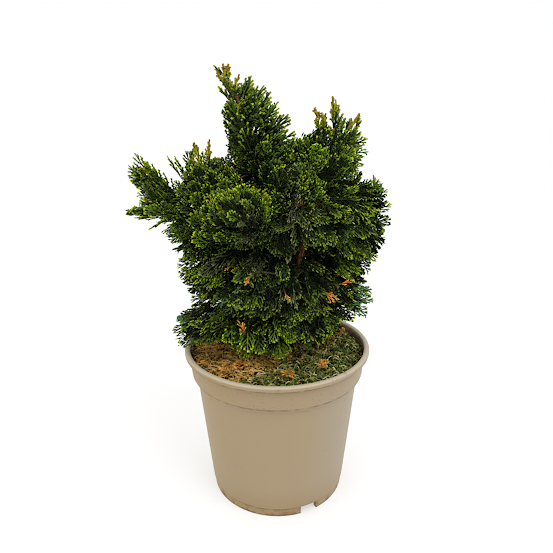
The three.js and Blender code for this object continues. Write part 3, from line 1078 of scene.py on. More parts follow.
class Form(Enum):
    """The forms of flat spray in the crown, in the order of its list."""

    BROAD = Growth(16, 15, (46, 58), (0.84, 1.0), 0.036, 0.09)
    SMALL = Growth(12, 8, (44, 54), (0.85, 1.0), 0.08, 0.16)
    COARSE = Growth(5, 3, (40, 50), (0.9, 1.0), 0.12, 0.5)
    SPARSE = Growth(6, 4, (34, 42), (0.65, 0.8), 0.12, 0.2)
    LOBED = Growth(5, 6, (42, 52), (0.8, 0.95), 0.06, 0.085)

    @property
    def first(self) -> int:
        """The place of its first spray in the crown's list."""
        forms = list(Form)
        return sum(form.value.count for form in forms[: forms.index(self)])

    def deal(self, rng: Rng, count: int) -> Array:
        """Sprays of the form drawn at random, as their places in the list."""
        return self.first + rng.integers(0, self.value.count, count)


@dataclass(frozen=True)
class Frond:
    """A flat spray of length 1 and of about the same width.

    The shoots are held by their number of stations, each with the rank of its joints (0 innermost to 3 tip);
    the short ones by their two ends and the ranks of their body and tip.
    """

    shoots: tuple[tuple[Array, Array], ...]
    buds: Array
    bud_ranks: Array

    CENTRE: ClassVar[float] = 0.45
    RADIUS: ClassVar[float] = 0.55

    @classmethod
    def grow(cls, rng: Rng, rule: Growth) -> "Frond":
        """Grows a spray by its branching rule.

        The main shoot runs along x with a slight bend. It throws side shoots to the left and right in turn,
        which bend forward and reach a circle from x = -0.1 to x = 1. Each side shoot throws short ones to
        both sides in turn. Ranks rise from the middle of that circle outwards.

        Args:
            rng: The source of unevenness.
            rule: The numbers of the rule.

        Returns:
            The spray.
        """
        spread, fullness = math.radians(rng.uniform(*rule.spread)), rng.uniform(*rule.fullness)
        tip, step = rule.tip, rule.step
        gap = 1.0 / (rule.sides + 1.6)
        bow = rng.uniform(-0.08, 0.08)
        stations = np.array([0.0, 0.32, 0.62, 0.86, 1.0 - tip, 1.0])
        main = np.stack([stations, bow * stations**2], axis=-1)
        hand = rng.choice([-1.0, 1.0])
        lines, ranks, buds, bud_ranks = [], [], [], []
        for number in range(rule.sides):
            hand = -hand
            share = (number + 1.0) * gap + rng.normal(0.0, 0.08 * gap)
            angle = spread * (1.08 - 0.4 * share)
            b = (share - cls.CENTRE) * math.cos(angle)
            reach = -b + math.sqrt(b * b + cls.RADIUS**2 - (share - cls.CENTRE) ** 2)
            reach *= fullness * rng.uniform(0.86, 1.06) * min(0.72 + 0.9 * share, 1.0)
            foot = np.array([share, bow * share**2])
            total = -0.5 * reach / cls.RADIUS
            line = cls.curve(foot, hand * angle, hand * total, reach, tip)
            lines.append(line)
            ranks.append([0 if share < 0.4 else 1, 1 if share < 0.15 else 2, 3])
            way, run = hand, step * rng.uniform(1.0, 1.6)
            while run < reach - 0.8 * tip:
                part = run / reach
                turn = hand * (angle + total * part)
                spot = cls.spot(line, run / (reach - tip))
                length = step * rng.uniform(1.0, 1.6) * (1.15 - 0.4 * part)
                lean = turn + way * rng.uniform(0.36, 0.6)
                end = spot + length * np.array([math.cos(lean), math.sin(lean)])
                out = math.hypot(end[0] - cls.CENTRE, end[1]) / cls.RADIUS
                buds.append([spot, end])
                bud_ranks.append([1 if out < 0.5 else 2, 3 if out > 0.7 else 2 if out > 0.4 else 1])
                way, run = -way, run + step * rng.uniform(0.85, 1.25)
        return cls(
            ((main[None], np.array([[0, 1, 1, 2, 3]])), (np.array(lines), np.array(ranks))),
            np.array(buds).reshape(-1, 2, 2),
            np.array(bud_ranks, int).reshape(-1, 2),
        )

    @staticmethod
    def curve(foot: Array, angle: float, turn: float, reach: float, tip: float) -> Array:
        """A side shoot's four stations; its direction turns evenly over its length."""
        runs = np.array([0.52 * (reach - tip), 0.48 * (reach - tip), tip])
        middle = angle + turn * (np.cumsum(runs) - runs / 2) / reach
        steps = runs[:, None] * np.stack([np.cos(middle), np.sin(middle)], axis=-1)
        return foot + np.concatenate([np.zeros((1, 2)), np.cumsum(steps, axis=0)])

    @staticmethod
    def spot(line: Array, share: float) -> Array:
        """The point at a share of a side shoot's length before its tip."""
        share = min(share, 1.0) * 2.0
        first = min(int(share), 1)
        return line[first] + (line[first + 1] - line[first]) * (share - first)


@dataclass
class Sprays:
    """Many sprays in place: where each begins, which way it grows and faces, its size, curl and colours.

    proud is how far its shoots may stand out of the masses.
    """

    base: Array
    heading: Array
    face: Array
    length: Array
    breadth: Array
    frond: Array
    curl: Array
    cup: Array
    kind: Array
    width: Array
    proud: Array

    @classmethod
    def joined(cls, parts: Sequence["Sprays"]) -> "Sprays":
        """Several groups as one."""
        names = cls.__dataclass_fields__
        return cls(**{name: np.concatenate([getattr(part, name) for part in parts]) for name in names})

    def pick(self, chosen: Array) -> "Sprays":
        """The chosen sprays only."""
        return Sprays(**{name: getattr(self, name)[chosen] for name in self.__dataclass_fields__})

    def shape(self, rng: Rng, fronds: Sequence[Frond], outside: Outside | None = None) -> Shape:
        """Makes every spray's shoots from its flat spray.

        Args:
            rng: The source of unevenness.
            fronds: The flat sprays to choose from.
            outside: How far places lie outside the masses; shoots that stand too far out are left off.

        Returns:
            The joined shoots.
        """
        shapes = []
        for number, flat in enumerate(fronds):
            chosen = np.flatnonzero(self.frond == number)
            if len(chosen):
                hand = rng.choice([-1.0, 1.0], (len(chosen), 1, 1))
                shoots = Shoots(rng, self.pick(chosen), hand, outside)
                shapes.extend(shoots.long(plan, ranks) for plan, ranks in flat.shoots)
                shapes.append(shoots.short(flat))
        return Shape.joined(shapes)


@dataclass
class Shoots:
    """Makes the shoots of sprays that share one flat spray; hand is -1 for those that are mirrored."""

    rng: Rng
    sprays: Sprays
    hand: Array
    outside: Outside | None

    STRAY: ClassVar[float] = 0.34
    STRAY_TIPS: ClassVar[float] = 0.4
    LIFT: ClassVar[float] = 0.03
    THICKNESS: ClassVar[float] = 0.42
    SHORT_THICKNESS: ClassVar[float] = 0.5
    RANK_WIDTHS: ClassVar[Array] = np.array([0.74, 0.8, 0.88, 1.0])

    def stay(self, tips: Array) -> Array:
        """Which shoots stay, by how far their tips, sprays by shoots by 3, stand out of the masses."""
        if self.outside is None:
            return np.ones(tips[..., 0].size, bool)
        allowed = self.sprays.proud[:, None] * self.rng.uniform(0.5, 1.4, tips.shape[:2])
        return self.outside(tips.reshape(-1, 3)) <= allowed.ravel()

    def carried(self, plan: Array) -> tuple[Array, Array]:
        """Carries flat points onto every spray.

        A point (x, y) of a flat spray of length L goes to base + L (x heading + b y side + h face), where b
        is its breadth and h = cup y^2 - curl x^2 with a little lift along each shoot, so the spray hollows
        across itself and bends along itself.

        Args:
            plan: The flat shoots, shoots by stations by 2.

        Returns:
            The points, sprays by shoots by stations by 3, and the spray's upward direction at each.
        """
        own = self.sprays
        size = (len(own.base), *plan.shape[:2])
        heading, face = own.heading[:, None, None], own.face[:, None, None]
        across = np.cross(face, heading)
        x = np.broadcast_to(plan[None, ..., 0], size)
        y = plan[None, ..., 1] * self.hand * own.breadth[:, None, None]
        rise = np.linspace(0.0, 1.0, size[2]) * self.rng.normal(0.0, self.LIFT, (*size[:2], 1))
        curl, cup = own.curl[:, None, None], own.cup[:, None, None]
        h = cup * y**2 - curl * x**2 + rise
        offset = x[..., None] * heading + y[..., None] * across + h[..., None] * face
        path = own.base[:, None, None] + own.length[:, None, None, None] * offset
        up = unit(face + (2.0 * curl * x)[..., None] * heading - (2.0 * cup * y)[..., None] * across)
        return path, up

    def tones(self, ranks: Array) -> Array:
        """The finish of every joint: its kind's tone for its rank, some one rank darker, tips less often."""
        off = self.rng.random((len(self.sprays.base), *ranks.shape))
        shift = off < np.where(ranks == 3, self.STRAY_TIPS, 1.0) * self.STRAY
        return KIND_TONES[self.sprays.kind[:, None, None], np.clip(ranks[None] - shift, 0, 3)]

    def long(self, plan: Array, ranks: Array) -> Shape:
        """The main or side shoots of every spray, narrower in their lower ranks.

        Args:
            plan: The flat shoots, shoots by stations by 2.
            ranks: The rank of each joint.

        Returns:
            The shoots.
        """
        path, up = self.carried(plan)
        sprays, shoots, stations, _ = path.shape
        run = unit(np.gradient(path, axis=2))
        side = unit(np.cross(up, run) + self.rng.normal(0.0, 0.1, (sprays, shoots, 1, 3)))
        wide = self.RANK_WIDTHS[np.concatenate([ranks[:, :1], ranks], axis=1)]
        wide[:, 0] *= 0.8
        wide[:, -1] *= 1.06
        uneven = self.rng.uniform(0.88, 1.14, (sprays, shoots, 1))
        width = self.sprays.width[:, None, None] * wide[None] * uneven
        flat = (sprays * shoots, stations)
        kept = self.stay(path[:, :, -1]) & self.stay(path[:, :, stations // 2])
        return fingers(
            path.reshape(*flat, 3)[kept],
            side.reshape(*flat, 3)[kept],
            np.cross(run, side).reshape(*flat, 3)[kept],
            width.reshape(flat)[kept],
            self.THICKNESS,
            self.tones(ranks).reshape(flat[0], stations - 1)[kept],
        )

    def short(self, flat: Frond) -> Shape:
        """The short shoots of every spray."""
        path, up = self.carried(flat.buds)
        run = path[:, :, 1] - path[:, :, 0]
        side = unit(np.cross(up[:, :, 1], run) + self.rng.normal(0.0, 0.15, run.shape))
        width = (self.sprays.width[:, None] * self.rng.uniform(0.9, 1.2, run.shape[:2])).ravel()
        tone = self.tones(flat.bud_ranks).reshape(-1, 2)
        kept = self.stay(path[:, :, 1])
        return darts(
            path[:, :, 0].reshape(-1, 3)[kept],
            path[:, :, 1].reshape(-1, 3)[kept],
            side.reshape(-1, 3)[kept],
            unit(np.cross(run, side)).reshape(-1, 3)[kept],
            width[kept],
            width[kept] * self.SHORT_THICKNESS,
            tone[kept, 0],
            tone[kept, 1],
        )


# ---------------------------------------------------------------- crown


@dataclass(frozen=True)
class Mass:
    """One mass of foliage: its solid, where its bough enters it and its outermost tip."""

    name: str
    points: Array
    triangles: Array
    root: Array
    tip: Array

    @property
    def slender(self) -> bool:
        """Whether the mass is a leader, a single shoot that stands out of the crown."""
        return bool(np.ptp(self.points, axis=0).max() < 50.0)

    @classmethod
    def read(cls, name: str, lines: Array) -> "Mass":
        """Reads a mass; its root is the limb point nearest to it, its tip the point furthest from that."""
        points, triangles = node_mesh(name)
        gap = np.linalg.norm(points[:, None] - lines[None], axis=-1)
        root = lines[np.unravel_index(np.argmin(gap), gap.shape)[1]]
        tip = points[np.argmax(np.linalg.norm(points - root, axis=1))]
        return cls(name, points, triangles, root, tip)

    def line(self, end: float) -> Array:
        """Twelve points of the mass's own line, from its root to a share of it."""
        return self.root + (self.tip - self.root) * np.linspace(0.0, end, 12)[:, None]

    def spine(self, place: Array, share: float, back: float, low: float, high: float) -> Array:
        """The points of the mass's own line from which places are reached.

        Args:
            place: The places.
            share: How much of a place's share of the line counts.
            back: How far back from there along the line, as a share of it.
            low: The least share.
            high: The greatest share.

        Returns:
            One point of the line for each place.
        """
        axis = self.tip - self.root
        along = np.clip((place - self.root) @ axis / (axis @ axis), 0.0, 1.0)
        return self.root + axis * np.clip(along * share - back, low, high)[:, None]

    def depth(self, place: Array) -> Array:
        """How far each place lies from the mass's own line."""
        return np.linalg.norm(place - self.spine(place, 1.0, 0.0, 0.0, 1.0), axis=1)

    def scatter(self, rng: Rng, density: float) -> tuple[Array, Array]:
        """Spreads random points evenly over the mass's skin.

        Args:
            rng: The source of places.
            density: Points per square millimetre.

        Returns:
            The points and the skin's outward directions there.
        """
        corners = self.points[self.triangles]
        normal = np.cross(corners[:, 1] - corners[:, 0], corners[:, 2] - corners[:, 0])
        area = np.linalg.norm(normal, axis=1) / 2.0
        count = int(area.sum() * density)
        chosen = rng.choice(len(area), count, p=area / area.sum())
        a, b = np.sqrt(rng.random(count))[:, None], rng.random(count)[:, None]
        own = corners[chosen]
        place = (1 - a) * own[:, 0] + a * (1 - b) * own[:, 1] + a * b * own[:, 2]
        return place, unit(normal[chosen])


@dataclass
class Canopy:
    """All the masses, where their common outside is, and the hollow through which a bough shows."""

    masses: list[Mass]

    HOLLOW_MIDDLE: ClassVar[Array] = np.array([24.0, -92.0, 322.0])
    HOLLOW_REACH: ClassVar[Array] = np.array([9.0, 44.0, 20.0])

    def __post_init__(self) -> None:
        """Sets out the search tree over all the masses' faces."""
        first = np.cumsum([0] + [len(mass.points) for mass in self.masses[:-1]])
        faces = np.concatenate([mass.triangles + start for mass, start in zip(self.masses, first)])
        points = np.concatenate([mass.points for mass in self.masses])
        self.tree = BVHTree.FromPolygons(points.tolist(), faces.tolist())

    def skin(self, rng: Rng, mass: Mass, spacing: float) -> tuple[Array, Array]:
        """Points spaced out over the part of a mass's skin that no other mass lies against.

        Args:
            rng: The source of places.
            mass: The mass.
            spacing: The side of the cell that holds one point.

        Returns:
            The points and outward directions.
        """
        place, normal = mass.scatter(rng, 6.0 / spacing**2)
        rays = ((Vector(p + n * 0.05), Vector(n)) for p, n in zip(place, normal))
        free = np.array([self.tree.ray_cast(start, way, 7.0)[0] is None for start, way in rays], bool)
        place, normal = place[free], normal[free]
        cell = np.floor(place / spacing + rng.random(3)).astype(int)
        _, first = np.unique(cell, axis=0, return_index=True)
        return place[first], normal[first]

    def outside(self, place: Array) -> Array:
        """How far each place lies outside the masses, below 0 inside them; far out in the front's hollow."""
        spot, normal, distance = [], [], []
        for point in place:
            found = self.tree.find_nearest(Vector(point))
            spot.append(found[0])
            normal.append(found[1])
            distance.append(found[3])
        side = np.array([(Vector(own) - near).dot(out) for own, near, out in zip(place, spot, normal)])
        hollow = np.sum(((place - self.HOLLOW_MIDDLE) / self.HOLLOW_REACH) ** 2, axis=1) < 1.0
        return np.where(hollow, 99.0, np.where(side > 0.0, distance, -np.array(distance)))

    def rooted(self, place: Array, heading: Array, length: Array) -> Array:
        """Shortens sprays until they begin inside the masses.

        Args:
            place: Where they end.
            heading: The way they grow.
            length: Their lengths.

        Returns:
            The lengths that do.
        """
        for _ in range(4):
            length = np.where(self.outside(place - heading * length[:, None]) > 0.0, length * 0.72, length)
        return length

    def trimmed(self, sprays: Sprays, proud: float, least: float) -> Sprays:
        """Shortens the sprays that reach too far out of the masses, and leaves out what becomes too short.

        Args:
            sprays: The sprays.
            proud: How far a tip may stand out.
            least: The least length.

        Returns:
            The sprays that stay.
        """
        tip = sprays.base + sprays.heading * sprays.length[:, None]
        sprays.length = sprays.length - np.maximum(self.outside(tip) - proud, 0.0) * 1.15
        return sprays.pick(sprays.length > least)


@dataclass(frozen=True)
class Plume:
    """One placed spray of the crown's outline: where it begins and ends, its dress and its breadth."""

    foot: Place
    tip: Place
    kind: Kind
    breadth: float
    sparse: bool = False


# Sprays of the BLACK, DEEP and SHADY kinds stand in painted shade where the crown is dark.
PLUMES = (
    # the top's leader, and the forks beside it
    Plume((-53, -4, 496), (-63, -4, 514), Kind.RUDDY, 0.4, True),
    Plume((-52, -4, 499), (-56, -5, 521), Kind.RUDDY, 0.35, True),
    Plume((-51, -4, 500), (-49, -3, 521), Kind.RUDDY, 0.4, True),
    Plume((-50, -4, 484), (-61, -5, 499), Kind.BRONZED, 0.45, True),
    Plume((-46, -3, 474), (-52, -4, 506), Kind.BRONZED, 0.4),
    # its left side, from the top down
    Plume((-42, -3, 455), (-57, -5, 475), Kind.COMMON, 0.55),
    Plume((-38, -5, 443), (-57, -6, 464), Kind.COMMON, 0.55),
    Plume((-31, -8, 430), (-52, -8, 446), Kind.COMMON, 0.55),
    Plume((-22, -6, 408), (-53, -8, 432), Kind.COMMON, 0.22),
    Plume((-18, -4, 402), (-47, -6, 419), Kind.COMMON, 0.22),
    # its right side
    Plume((-48, -2, 483), (-39, -2, 511), Kind.RUDDY, 0.5, True),
    Plume((-43, -2, 473), (-25, -2, 509), Kind.BRONZED, 0.6),
    Plume((-39, -2, 464), (-13, -1, 500), Kind.BRONZED, 0.6),
    Plume((-35, -4, 455), (-4, -2, 492), Kind.BRONZED, 0.6),
    Plume((-31, -4, 443), (5, -2, 481), Kind.BRONZED, 0.6),
    Plume((-25, -6, 433), (14, -2, 468), Kind.BRONZED, 0.6),
    Plume((-20, -6, 420), (20, 0, 453), Kind.BRONZED, 0.6),
    # between the top and the right plume
    Plume((8, -4, 420), (22, -2, 444), Kind.FRESH, 0.6),
    Plume((26, 0, 420), (28, 0, 444), Kind.FRESH, 0.6),
    Plume((40, 0, 424), (33, 0, 446), Kind.FRESH, 0.6),
    Plume((8, -6, 394), (14, -6, 428), Kind.COMMON, 0.8),
    Plume((24, -6, 396), (29, -6, 431), Kind.COMMON, 0.8),
    Plume((40, -4, 402), (42, -4, 436), Kind.FRESH, 0.8),
    # the right plume's three leaders
    Plume((55, 6, 450), (52, 6, 471), Kind.RUDDY, 0.5, True),
    Plume((54, 8, 450), (56, 8, 470), Kind.RUDDY, 0.5, True),
    Plume((52, 8, 448), (44, 8, 463), Kind.BRONZED, 0.5, True),
    Plume((65, 8, 454), (64, 8, 488), Kind.RUDDY, 0.4, True),
    Plume((66, 8, 452), (71, 8, 479), Kind.BRONZED, 0.5, True),
    Plume((66, 6, 450), (75, 6, 470), Kind.BRONZED, 0.5, True),
    Plume((78, 10, 444), (94, 10, 470), Kind.RUDDY, 0.3, True),
    Plume((76, 10, 444), (85, 10, 465), Kind.BRONZED, 0.5, True),
    Plume((72, 8, 446), (78, 8, 465), Kind.BRONZED, 0.5, True),
    Plume((78, 8, 442), (93, 8, 456), Kind.BRONZED, 0.4, True),
    # the dark fan at its right
    Plume((70, -2, 432), (94, -4, 451), Kind.BRONZED, 0.6),
    Plume((68, -2, 430), (103, -4, 442), Kind.FRESH, 0.55),
    Plume((68, -4, 426), (104, -4, 428), Kind.FRESH, 0.6),
    Plume((70, -4, 422), (100, -4, 417), Kind.FRESH, 0.6),
    Plume((66, 4, 428), (97, 4, 436), Kind.SHADY, 0.7),
    Plume((66, 4, 424), (97, 4, 421), Kind.SHADY, 0.7),
    # the left dome's sprigs, from the left
    Plume((-105, 2, 395), (-124, 2, 425), Kind.COMMON, 0.3, True),
    Plume((-102, 2, 397), (-115, 2, 425), Kind.COMMON, 0.35, True),
    Plume((-100, 2, 396), (-110, 2, 415), Kind.COMMON, 0.5, True),
    Plume((-90, 2, 400), (-103, 2, 430), Kind.COMMON, 0.55),
    Plume((-88, 0, 398), (-96, 0, 422), Kind.FRESH, 0.7),
    Plume((-85, 4, 406), (-91, 4, 440), Kind.RUDDY, 0.28),
    Plume((-80, 2, 402), (-82, 2, 430), Kind.BRONZED, 0.6),
    Plume((-76, 4, 414), (-75, 4, 443), Kind.RUDDY, 0.4, True),
    Plume((-75, 3, 412), (-79, 3, 433), Kind.RUDDY, 0.4, True),
    Plume((-70, 0, 400), (-67, 0, 424), Kind.BRONZED, 0.7),
    Plume((-61, 0, 394), (-57, 0, 417), Kind.FRESH, 0.7),
    Plume((-98, -2, 378), (-116, -2, 398), Kind.FRESH, 0.6),
    Plume((-84, -2, 386), (-87, -2, 423), Kind.COMMON, 0.8),
    Plume((-72, -2, 382), (-74, -2, 422), Kind.BRONZED, 0.8),
    Plume((-62, -2, 380), (-61, -2, 415), Kind.COMMON, 0.8),
    Plume((-52, -2, 378), (-49, -2, 411), Kind.FRESH, 0.8),
    Plume((-94, -2, 382), (-101, -2, 412), Kind.COMMON, 0.8),
    # the left arm, from its tip down
    Plume((-134, 0, 388), (-160, 0, 428), Kind.BRONZED, 0.42),
    Plume((-136, 0, 384), (-166, 0, 416), Kind.FRESH, 0.42),
    Plume((-134, -2, 382), (-162, -2, 405), Kind.BRONZED, 0.4),
    Plume((-128, 0, 384), (-149, 0, 420), Kind.FRESH, 0.42),
    Plume((-122, 0, 380), (-140, 0, 412), Kind.BRONZED, 0.42),
    Plume((-114, 0, 374), (-132, 0, 398), Kind.COMMON, 0.5),
    Plume((-138, -4, 378), (-161, -4, 396), Kind.COMMON, 0.45),
    Plume((-132, -4, 372), (-159, -4, 384), Kind.BRIGHT, 0.5),
    Plume((-130, -4, 366), (-157, -4, 376), Kind.COMMON, 0.45),
    Plume((-126, -4, 358), (-172, -4, 363), Kind.COMMON, 0.22),
    Plume((-130, -4, 356), (-165, -4, 355), Kind.COMMON, 0.22, True),
    Plume((-121, -6, 357), (-149, -6, 342), Kind.COMMON, 0.25, True),
    Plume((-112, 2, 372), (-150, 2, 377), Kind.DEEP, 0.8),
    Plume((-108, 0, 362), (-148, 0, 366), Kind.DEEP, 0.7),
    Plume((-106, -6, 368), (-150, -6, 380), Kind.BRONZED, 0.7),
    Plume((-112, -6, 378), (-146, -6, 394), Kind.BRONZED, 0.7),
    # below the left arm, and down the left side
    Plume((-100, -4, 356), (-134, -6, 338), Kind.COMMON, 0.4),
    Plume((-92, -6, 348), (-124, -8, 327), Kind.COMMON, 0.4),
    Plume((-84, -8, 306), (-118, -10, 300), Kind.FRESH, 0.7),
    Plume((-82, -8, 298), (-117, -10, 286), Kind.FRESH, 0.7),
    Plume((-78, -10, 286), (-108, -12, 270), Kind.COMMON, 0.7),
    Plume((-66, -10, 262), (-104, -12, 254), Kind.COMMON, 0.7),
    Plume((-58, 4, 262), (-98, 4, 262), Kind.DEEP, 0.9),
    Plume((-54, 6, 250), (-86, 6, 250), Kind.DEEP, 0.8),
    # the right shoulder, and down the right side
    Plume((113, -4, 386), (111, -4, 403), Kind.RUDDY, 0.4, True),
    Plume((84, -6, 388), (95, -6, 408), Kind.COMMON, 0.6),
    Plume((92, -6, 380), (107, -6, 399), Kind.COMMON, 0.7),
    Plume((100, -6, 374), (117, -6, 398), Kind.FRESH, 0.7),
    Plume((102, -6, 368), (127, -6, 387), Kind.FRESH, 0.7),
    Plume((100, -8, 358), (133, -6, 370), Kind.FRESH, 0.7),
    Plume((92, -8, 350), (130, -8, 350), Kind.COMMON, 0.7),
    Plume((92, -10, 336), (128, -10, 330), Kind.FRESH, 0.7),
    Plume((88, -12, 322), (120, -12, 308), Kind.COMMON, 0.7),
    Plume((84, -14, 308), (112, -14, 292), Kind.COMMON, 0.7),
    # withered sprays caught in the front
    Plume((48, -76, 290), (66, -84, 282), Kind.WITHERED, 0.6, True),
    Plume((50, -76, 288), (61, -86, 280), Kind.WITHERED, 0.7, True),
    Plume((-25, -80, 311), (-34, -86, 300), Kind.WITHERED, 0.6, True),
    Plume((-48, -46, 310), (-58, -50, 305), Kind.WITHERED, 0.5, True),
    Plume((-34, -66, 234), (-44, -68, 253), Kind.WITHERED, 0.6, True),
    Plume((-36, -68, 236), (-37, -72, 252), Kind.WITHERED, 0.5, True),
    Plume((8, -80, 291), (14, -88, 282), Kind.WITHERED, 0.6, True),
    Plume((66, -62, 292), (84, -68, 298), Kind.WITHERED, 0.5, True),
    # where the left arm joins the dome
    Plume((-98, -8, 380), (-126, -10, 366), Kind.FRESH, 0.8),
    Plume((-84, -12, 362), (-112, -16, 374), Kind.FRESH, 0.9),
    Plume((-90, -6, 384), (-116, -8, 386), Kind.BRIGHT, 0.8),
    Plume((-92, -10, 352), (-122, -12, 350), Kind.COMMON, 0.9),
    Plume((-78, 10, 358), (-120, 10, 370), Kind.DEEP, 0.9),
    Plume((-80, 12, 372), (-116, 12, 388), Kind.DEEP, 0.9),
    Plume((-78, 6, 348), (-118, 6, 352), Kind.DEEP, 0.9),
    # two at the low left
    Plume((-94, -14, 224), (-128, -18, 219), Kind.COMMON, 0.5),
    Plume((-90, -16, 212), (-118, -20, 200), Kind.COMMON, 0.6),
    # bright scalloped sprays low down at the front, and pale ones at the left
    Plume((-46, -56, 246), (-58, -66, 224), Kind.BRIGHT, 0.9),
    Plume((-32, -60, 246), (-34, -80, 220), Kind.BRIGHT, 0.9),
    Plume((-22, -64, 240), (-18, -82, 218), Kind.FRESH, 0.9),
    Plume((-40, -40, 328), (-70, -56, 312), Kind.GREY, 0.8),
    Plume((-52, -44, 322), (-84, -54, 300), Kind.GREY, 0.7),
    # the bluish fan at the right, and its neighbours below
    Plume((80, -26, 268), (111, -30, 274), Kind.BLUISH, 0.55),
    Plume((80, -26, 262), (114, -26, 261), Kind.BLUISH, 0.55),
    Plume((76, -30, 256), (108, -32, 246), Kind.BLUISH, 0.7),
    Plume((66, -32, 250), (92, -36, 240), Kind.COMMON, 0.7),
    Plume((56, -34, 246), (74, -40, 236), Kind.COMMON, 0.7),
    # greyish ones, and ones in painted shade, that hang over the middle
    Plume((-8, -38, 334), (-32, -60, 302), Kind.GREY, 0.8),
    Plume((0, -42, 324), (-6, -68, 292), Kind.SHADY, 0.8),
    Plume((-22, -36, 312), (-46, -58, 284), Kind.GREY, 0.8),
    Plume((6, -40, 320), (16, -70, 294), Kind.SHADY, 0.8),
    Plume((-30, -44, 300), (-30, -66, 268), Kind.SHADY, 0.8),
    # ones in painted shade, near black, that close the middle
    Plume((-34, 14, 316), (2, 14, 320), Kind.BLACK, 0.9),
    Plume((-12, 18, 296), (-10, 18, 336), Kind.BLACK, 0.9),
    Plume((10, 22, 316), (-24, 22, 312), Kind.BLACK, 0.9),
    Plume((-34, 26, 330), (8, 26, 328), Kind.BLACK, 0.9),
    Plume((-42, 10, 304), (-20, 10, 334), Kind.BLACK, 0.9),
    Plume((-2, 20, 298), (4, 20, 334), Kind.BLACK, 0.9),
    # ones in painted shade behind the right side
    Plume((66, 12, 352), (112, 12, 354), Kind.DEEP, 0.9),
    Plume((66, 14, 334), (110, 14, 330), Kind.DEEP, 0.9),
    Plume((66, 12, 372), (112, 12, 376), Kind.DEEP, 0.9),
    Plume((62, 10, 312), (102, 10, 304), Kind.DEEP, 0.9),
    Plume((60, 12, 292), (96, 12, 284), Kind.DEEP, 0.9),
    # at the back, between the top and the right plume
    Plume((8, 34, 370), (20, 50, 402), Kind.COMMON, 0.9),
    Plume((26, 34, 372), (32, 52, 406), Kind.COMMON, 0.9),
    Plume((36, 36, 376), (22, 50, 396), Kind.FRESH, 0.9),
    Plume((16, 42, 356), (28, 62, 382), Kind.FRESH, 0.9),
    Plume((2, 26, 386), (14, 36, 420), Kind.COMMON, 0.9),
    Plume((30, 24, 388), (28, 34, 424), Kind.COMMON, 0.9),
    # ones in painted shade behind the bluish fan
    Plume((48, -16, 262), (88, -20, 244), Kind.DEEP, 0.9),
    Plume((46, -12, 250), (80, -14, 234), Kind.DEEP, 0.9),
    # ones in painted shade behind the middle
    Plume((10, 24, 300), (24, 24, 338), Kind.BLACK, 0.9),
    Plume((34, 24, 300), (20, 24, 336), Kind.BLACK, 0.9),
    # in front of the top's lower half
    Plume((-30, -14, 432), (-44, -18, 470), Kind.COMMON, 0.8),
    Plume((-24, -14, 420), (-34, -18, 456), Kind.BRONZED, 0.8),
    Plume((-38, -12, 452), (-48, -14, 486), Kind.BRONZED, 0.7),
    # ones in painted shade between the plumes
    Plume((20, 10, 396), (14, 12, 426), Kind.BLACK, 0.8),
    Plume((30, 10, 396), (34, 12, 426), Kind.BLACK, 0.8),
    # ones in painted shade at the low left
    Plume((-80, -4, 228), (-120, -6, 229), Kind.SHADY, 0.7),
    Plume((-78, -6, 216), (-112, -8, 210), Kind.SHADY, 0.7),
    # two more in painted shade behind the middle
    Plume((-44, 26, 300), (-30, 22, 326), Kind.BLACK, 0.9),
    Plume((-20, 28, 318), (-42, 28, 308), Kind.BLACK, 0.9),
    # from the left dome over the mass before it
    Plume((-50, -30, 372), (-58, -46, 405), Kind.FRESH, 0.8),
    Plume((-36, -30, 380), (-43, -44, 411), Kind.BRIGHT, 0.8),
    Plume((-66, -30, 370), (-76, -46, 400), Kind.FRESH, 0.8),
    Plume((-74, -34, 366), (-89, -50, 391), Kind.FRESH, 0.8),
    Plume((-24, -30, 374), (-29, -46, 403), Kind.SHADY, 0.8),
    Plume((-50, -44, 364), (-51, -68, 398), Kind.BRIGHT, 0.8),
    Plume((-62, -44, 362), (-70, -66, 393), Kind.FRESH, 0.8),
    Plume((-72, -50, 348), (-90, -70, 372), Kind.FRESH, 0.8),
    Plume((-66, -56, 334), (-88, -72, 350), Kind.BRIGHT, 0.8),
    Plume((-34, -50, 362), (-33, -78, 392), Kind.GREY, 0.8),
)


# how much brighter or darker than the rest some masses are dealt: partly their freshness, partly painted
# light and shade
FRESHNESS_AND_LIGHT = {
    "left_arm": 0.12,
    "left_arm_low": 0.14,
    "left_dome": -0.02,
    "crown_top": -0.1,
    "right_plume": -0.03,
    "right_shoulder": 0.1,
    "right_flank": 0.2,
    "front_left": 0.05,
    "front_upper": -0.13,
    "front_right": -0.06,
    "front_waist_left": 0.1,
    "front_waist_right": -0.1,
    "left_waist": 0.26,
    "left_skirt": 0.22,
    "right_waist": 0.28,
    "right_low_arm": 0.1,
    "right_skirt": 0.12,
    "front_skirt": 0.34,
    "front_skirt_right": 0.08,
}


